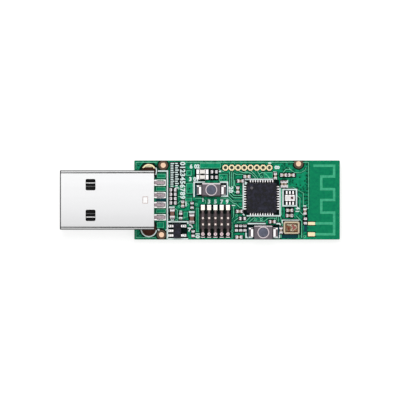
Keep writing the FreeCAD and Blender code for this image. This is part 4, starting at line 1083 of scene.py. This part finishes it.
class STICK_OT_solder(bpy.types.Operator):
    """Adds the solder that climbs each part's ends from its pads"""

    bl_idname = "stick.solder"
    bl_label = "Solder"

    def execute(self, context):
        rng = random.Random(7)
        self.solder_small_parts(rng)
        bm = bmesh.new()
        self.solder_tails(bm, rng)
        self.solder_leads(bm)
        self.solder_chip(bm)
        make_piece("solder_fillets", bm, "bright solder", smooth=True)
        self.solder_header(rng)
        self.leave_residue()
        return {"FINISHED"}

    def solder_small_parts(self, rng):
        """A fillet at each end of each small part."""
        bm = bmesh.new()
        inset = 0.04
        for low, high, axis in each_small_part():
            size, centre = high - low, (low + high) / 2
            reach = 0.2 * rng.uniform(0.85, 1.0)
            for side in (-1, 1):
                spot = centre.copy()
                spot[axis] += side * (size[axis] / 2 - inset)
                turn = axis * math.pi / 2 + (math.pi if side < 0 else 0)
                add_solder(bm, spot.x, spot.y, turn, reach=reach + inset, width=size[1 - axis] * 1.08,
                           height=size.z * rng.uniform(0.55, 0.8), foot=pad_foot)
        make_piece("end_solder", bm, "tinned ends", smooth=True)

    def solder_tails(self, bm, rng):
        """Solder on both sides and past the end of each contact's tail."""
        for node in contact_nodes:
            low, high = corners(node)
            middle = (low.y + high.y) / 2
            for side in (-1, 1):
                add_solder(bm, high.x - 0.85, middle + side * 0.36, side * math.pi / 2, reach=0.26,
                           width=1.7, height=0.34 * rng.uniform(0.8, 1), foot=pad_foot)
            add_solder(bm, high.x - 0.03, middle, 0, reach=0.22, width=0.9, height=0.3, foot=pad_foot)

    def solder_leads(self, bm):
        """The regulator's five feet."""
        low, high = corners("regulator_body")
        for start, end in islands("regulator_leads"):
            sign = -1 if start.x < (low.x + high.x) / 2 - 0.5 else 1
            x, y = (start if sign < 0 else end).x, (start.y + end.y) / 2
            add_solder(bm, x - sign * 0.04, y, math.pi if sign < 0 else 0,
                       reach=0.36, width=0.44, height=0.2, foot=pad_foot)
            for side in (-1, 1):
                add_solder(bm, x - sign * 0.22, y + side * 0.19, side * math.pi / 2,
                           reach=0.07, width=0.4, height=0.14, foot=pad_foot)

    def solder_chip(self, bm):
        """A toe of solder at each land of the radio chip."""
        for lying, sign, side, along in chip_lands():
            edge = side - sign * 0.02
            x, y = (edge, along) if lying else (along, edge)
            turn = (math.pi if sign < 0 else 0) if lying else sign * math.pi / 2
            add_solder(bm, x, y, turn, reach=0.36, width=0.19, height=0.07, foot=pad_top)

    def solder_header(self, rng):
        """Solder round each foot of the pin header: creamy in the far row, pinkish in the near one."""
        far_row, near_row, dots = bmesh.new(), bmesh.new(), bmesh.new()
        for low, high in islands("pin_header_pins"):
            x = (low.x + high.x) / 2
            top = pad_top + 0.56 * rng.uniform(0.97, 1.03)
            if low.y < header_middle:
                y = low.y + 0.3
                add_block(near_row, x, y, size_x=0.68, size_y=0.7, low=pad_foot, high=top, cut=0.2)
                add_plate(dots, circle(x + 0.03, y, radius=0.13, sides=12), top - 0.02, top + 0.006)
            else:
                y = high.y - 0.29
                add_block(far_row, x, y, size_x=0.76, size_y=0.8, low=pad_foot, high=top, cut=0.08)
        make_piece("header_solder_far", far_row, "creamy solder")
        make_piece("header_solder_near", near_row, "pinkish solder")
        make_piece("header_solder_dimples", dots, "dull solder")

    def leave_residue(self):
        """Painted shade: dark films on the header's pads, round the small parts, the crystal and the filter,
        and between the chip's lands.
        """
        bm = bmesh.new()
        half_foot = 0.43
        housing_low, housing_high = corners("pin_header_housing")
        for start, end in islands("pin_header_pins"):
            x = (start.x + end.x) / 2
            near, far = start.y - 0.3, housing_low.y + 0.3
            if start.y >= header_middle:
                near, far = housing_high.y - 0.3, end.y - 0.66
            add_box(bm, x - half_foot, x + half_foot, near, far, pad_foot, film_top)
        inner, outer, margin = 0.17, 0.34, 0.12
        for low, high, axis in each_small_part():
            sides = (low[1 - axis] - margin, high[1 - axis] + margin)
            for along in ((low[axis] - outer, low[axis] - inner), (high[axis] + inner, high[axis] + outer)):
                add_turned_box(bm, axis == 0, along, sides, pad_foot, film_top)
        low, high = corners("crystal_base")
        add_box(bm, low.x - 0.16, high.x + 0.16, low.y - 0.14, high.y + 0.2, pad_foot, film_top)
        low, high = corners("balun_body")
        for near, far in ((low.y - 0.2, low.y + 0.1), (high.y - 0.1, high.y + 0.2)):
            add_box(bm, low.x - 0.02, high.x + 0.02, near, far, pad_foot, film_top)
        reach, half_pitch, half_gap = 0.5, 0.25, 0.155
        for lying, sign, side, along in chip_lands():
            for spot in (along - half_pitch, along + half_pitch):
                out = sorted((side, side + sign * reach))
                add_turned_box(bm, lying, out, (spot - half_gap, spot + half_gap), pad_foot, film_top)
        make_piece("flux_residue", bm, "flux residue")


class STICK_OT_print(bpy.types.Operator):
    """Prints the frames, ticks and plain numbers on the board"""

    bl_idname = "stick.print"
    bl_label = "Print"

    def execute(self, context):
        look = context.scene.stick_board
        self.levels = on_board(ink_foot), on_board(ink_foot) + look.ink_height / MM
        width = look.ink_width / MM
        painted_halo, bm = bmesh.new(), bmesh.new()
        for points in frames + closed_frames:
            loop = points in closed_frames
            # painted shade: a dark halo under each printed line
            add_strip(painted_halo, points, width + 0.36, layer_foot, on_board(gap_layer * 1.1), loop)
            add_strip(bm, points, width, *self.levels, loop)
        for x, y, length_x, length_y in bars:
            self.print_bar(bm, x - length_x / 2, length_x, y, length_y)
        for (x, y), start, turn in zip(lug_holes, (math.pi, -0.5), (math.pi, 1.0)):
            add_strip(bm, circle(x, y, 1.56, 20, start, turn), width * 0.8, *self.levels)
        add_plate(bm, arrow_head, *self.levels)
        self.print_scale(bm)
        for label in number_labels:
            self.print_number(bm, *label)
        keep_on_board(painted_halo)
        keep_on_board(bm)
        make_piece("mask_under_print", painted_halo, "mask under print")
        make_piece("printed_marks", bm, "white ink")
        return {"FINISHED"}

    def print_bar(self, bm, x, length_x, y, length_y):
        """A bar from x on, with its middle at y."""
        add_box(bm, x, x + length_x, y - length_y / 2, y + length_y / 2, *self.levels)

    def print_scale(self, bm):
        """A printed scale beside the plug: long and short ticks, and a column of plain digits."""
        top = 7.4
        for k in range(14):
            self.print_bar(bm, -5.95, 0.55 if k % 5 else 0.75, top - 0.36 * k, 0.2)
        for k in range(12):
            self.print_bar(bm, -5.02, 0.72 if k % 2 else 0.52, top - 0.45 * k, 0.24)
        for digit in range(10):
            self.print_number(bm, str(digit), -3.56, top - 0.02 - 0.76 * digit, 0.95, -1)

    def print_number(self, bm, text, x, y, height, turns):
        """Plain digits, from the built-in font."""
        low, high = self.levels
        line = bpy.data.curves.new("number", "FONT")
        line.body, line.size = text, height / 0.7 * MM
        line.align_x = line.align_y = "CENTER"
        line.extrude = (high - low) / 2 * MM
        line.offset = 0.06 * MM
        line.resolution_u = 3
        holder = bpy.data.objects.new("number", line)
        bpy.context.scene.collection.objects.link(holder)
        drawn = bpy.data.meshes.new_from_object(holder.evaluated_get(bpy.context.evaluated_depsgraph_get()))
        place = Matrix.Translation((x, y, (low + high) / 2))
        drawn.transform(place @ Matrix.Rotation(turns * math.pi / 2, 4, "Z") @ Matrix.Scale(1 / MM, 4))
        bm.from_mesh(drawn)
        bpy.data.meshes.remove(drawn)
        bpy.data.objects.remove(holder)
        bpy.data.curves.remove(line)


class STICK_OT_small_parts(bpy.types.Operator):
    """Finishes the chip resistors and capacitors, with tinned ends"""

    bl_idname = "stick.small_parts"
    bl_label = "Resistors and capacitors"

    def execute(self, context):
        for node, kind in small_parts.items():
            boxes = islands(node)
            coat_node(node, kind + " ceramic", "tinned ends", pick=lambda face: self.on_terminal(face, boxes))
        return {"FINISHED"}

    def on_terminal(self, face, boxes):
        """Tells if a face belongs to a tinned end."""
        place = face.center / MM
        slack = Vector((0.01, 0.01, 0.01))
        for low, high in boxes:
            if min(place - low + slack) >= 0 and min(high - place + slack) >= 0:
                size, centre = high - low, (low + high) / 2
                axis = 0 if size.x > size.y else 1
                terminal = 0.35 if size[axis] > 1.3 else 0.25    # the larger capacitors have longer ends
                return abs(place[axis] - centre[axis]) > size[axis] / 2 - terminal - slack.x
        raise RuntimeError("A face lies outside every part of its solid")


class STICK_OT_chip(bpy.types.Operator):
    """Finishes the radio chip, the balun filter, the crystal and the regulator"""

    bl_idname = "stick.chip"
    bl_label = "Chip, filter, crystal and regulator"

    def execute(self, context):
        low, high = corners("radio_chip_body")

        def in_dimple(face):
            x, y, z = face.center / MM
            inside = min(x - low.x, high.x - x, y - low.y, high.y - y) > 0.25
            return inside and high.z - 0.2 < z < high.z - 0.01

        coat_node("radio_chip_body", "chip mould", "chip dimple", pick=in_dimple)
        recolour("crystal lid", self.lid_colour)
        for node, look in (("regulator_body", "chip mould"), ("balun_body", "balun ceramic"),
                           ("crystal_base", "crystal base"), ("crystal_seal_ring", "seal ring"),
                           ("crystal_lid", "crystal lid")):
            coat_node(node, look)
        for node in ("radio_chip_lands", "regulator_leads", "balun_terminals"):
            coat_node(node, "bright solder")
        self.weld_lid()
        self.dot_filter()
        return {"FINISHED"}

    def lid_colour(self, tree):
        """Painted reflections: blotches of gold, grey green and red, as the lid's mirror top would reflect
        what is round it.
        """
        place = add_node(tree, "ShaderNodeTexCoord").outputs["Object"]
        return ramp(tree, noise(tree, place, 1350, 1),
                    (0.32, paint(104, 56, 48)), (0.40, paint(152, 110, 80)), (0.46, paint(92, 96, 80)),
                    (0.52, paint(126, 126, 106)), (0.57, paint(214, 200, 176)), (0.62, paint(136, 112, 92)),
                    (0.70, paint(146, 84, 82)))

    def weld_lid(self):
        """The dark weld line round the crystal's lid."""
        low, high = corners("crystal_lid")
        inset, width = 0.1, 0.2
        seam = bmesh.new()
        add_strip(seam, rectangle(low.x + inset, high.x - inset, low.y + inset, high.y - inset), width,
                  high.z - 0.02, high.z + 0.006, loop=True)
        make_piece("crystal_weld_line", seam, "weld line")

    def dot_filter(self):
        """The dot of ink on the balun filter."""
        low, high = corners("balun_body")
        centre = (low + high) / 2
        bm = bmesh.new()
        add_plate(bm, circle(centre.x + 0.42, centre.y + 0.02, 0.27, 20), high.z - 0.01, high.z + 0.008)
        make_piece("balun_dot", bm, "marking ink")


class STICK_OT_switches(bpy.types.Operator):
    """Finishes the two push-button switches and adds the solder on their terminals"""

    bl_idname = "stick.switches"
    bl_label = "Push-button switches"

    def execute(self, context):
        for number in (1, 2):
            name, skin = f"switch_{number}_", 0.02 * MM
            cover_top, terminal_top = (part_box(name + part)[1].z - skin for part in ("cover", "terminals"))

            def collar_or_ridge(face):
                if face.normal.z > 0.9 and face.center.z > cover_top:
                    return 1
                # painted highlight on the cover's edge faces that slope up towards +Y
                return 2 if face.normal.y > 0.5 and face.normal.z > 0.5 else 0

            coat_node(name + "cover", "switch sheet", "switch collar", "switch ridge", pick=collar_or_ridge)
            coat_node(name + "terminals", "switch terminals", "bright solder",
                      pick=lambda face: face.normal.z > 0.9 and face.center.z > terminal_top)
            coat_node(name + "plunger", "button plastic")
            coat_node(name + "base", "switch base")
            coat_node(name + "dome", "dome sheet")
            self.snap_dome(number)
            self.solder_terminals(name)
        return {"FINISHED"}

    def solder_terminals(self, name):
        """Bright solder on the outer part of each terminal, and a film of mask round its pad."""
        low, high = corners(name + "cover")
        top = corners(name + "terminals")[1].z + 0.01
        solder, film = bmesh.new(), bmesh.new()
        for start, end in islands(name + "terminals"):
            out = -1 if start.x < low.x else 1
            edge = (low if out < 0 else high).x + out * 0.24
            for reach, y0, y1 in ((0.42, start.y + 0.06, end.y - 0.02), (0.85, end.y - 0.24, end.y - 0.02)):
                add_box(solder, *sorted((edge, edge + out * reach)), y0, y1, pad_foot, top)
            tip = (start if out < 0 else end).x
            add_box(film, *sorted((tip, tip + out * 0.24)), start.y - 0.2, end.y + 0.2, pad_foot, film_top)
        make_piece(name + "terminal_solder", solder, "bright solder")
        make_piece(name + "pad_film", film, "mask over inner copper")

    def snap_dome(self, number):
        """Gives the dome a mesh of its own."""
        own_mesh(nodes[f"switch_{number}_dome"])


class STICK_OT_header(bpy.types.Operator):
    """Finishes the pin header"""

    bl_idname = "stick.header"
    bl_label = "Pin header"

    def execute(self, context):
        recolour("header plastic", self.housing_colour)
        coat_node("pin_header_housing", "header plastic")
        # the pins' feet get a painted shade, as under the housing
        coat_node("pin_header_pins", "header pins", "header feet",
                  pick=lambda face: face.center.z / MM < pad_top + 0.7)
        return {"FINISHED"}

    def housing_colour(self, tree):
        """Black plastic with painted brownish reflections in line with the pins."""
        first = min(start.x + end.x for start, end in islands("pin_header_pins")) / 2 * MM
        along = figure(tree, "SUBTRACT", object_place(tree)[1]["X"], first)
        pitches = figure(tree, "DIVIDE", along, wire_hole_pitch * MM)
        share = figure(tree, "FRACT", figure(tree, "ADD", pitches, 0.5))
        black, dark, painted_reflection = paint(10, 12, 12), paint(16, 14, 16), paint(92, 76, 80)
        return ramp(tree, share, (0.0, black), (0.22, dark), (0.37, painted_reflection), (0.63, painted_reflection), (0.78, dark),
                    (1.0, black))


class STICK_OT_lamps(bpy.types.Operator):
    """Finishes the two lamps, and adds the dark joints between lens and carrier"""

    bl_idname = "stick.lamps"
    bl_label = "Lamps"

    def execute(self, context):
        bm = bmesh.new()
        for number in (1, 2):
            coat_node(f"lamp_{number}_carrier", "lamp carrier")
            coat_node(f"lamp_{number}_lens", "lamp lens")
            low, high = corners(f"lamp_{number}_lens")
            for x in (low.x - 0.05, high.x + 0.05):
                add_box(bm, x - 0.045, x + 0.045, low.y, high.y, low.z - 0.02, low.z + 0.008)
        make_piece("lamp_joints", bm, "flux residue")
        return {"FINISHED"}


# Panel, registration and the run

steps = ("effects", "stage", "plug", "board", "tracks", "plating", "solder", "print", "small_parts", "chip",
         "switches", "header", "lamps")


class STICK_PT_panel(bpy.types.Panel):
    """Lists the steps that build the stick's looks"""

    bl_idname = "STICK_PT_panel"
    bl_label = "Radio stick"
    bl_space_type = "VIEW_3D"
    bl_region_type = "UI"
    bl_category = "Radio stick"

    def draw(self, context):
        for step in steps:
            self.layout.operator("stick." + step)


settings = {"stick_board": StickBoardLook, "stick_metal": StickMetalLook, "stick_parts": StickPartLook,
            "stick_stage": StickStageLook}
classes = (*settings.values(), STICK_OT_effects, STICK_OT_stage, STICK_OT_plug, STICK_OT_board,
           STICK_OT_tracks, STICK_OT_plating, STICK_OT_solder, STICK_OT_print, STICK_OT_small_parts,
           STICK_OT_chip, STICK_OT_switches, STICK_OT_header, STICK_OT_lamps, STICK_PT_panel)


def register():
    for cls in classes:
        bpy.utils.register_class(cls)
    for name, group in settings.items():
        setattr(bpy.types.Scene, name, PointerProperty(type=group))


def unregister():
    for name in settings:
        delattr(bpy.types.Scene, name)
    for cls in reversed(classes):
        bpy.utils.unregister_class(cls)


def main():
    register()
    for step in steps:
        getattr(bpy.ops.stick, step)()


if __name__ == "__main__":
    main()
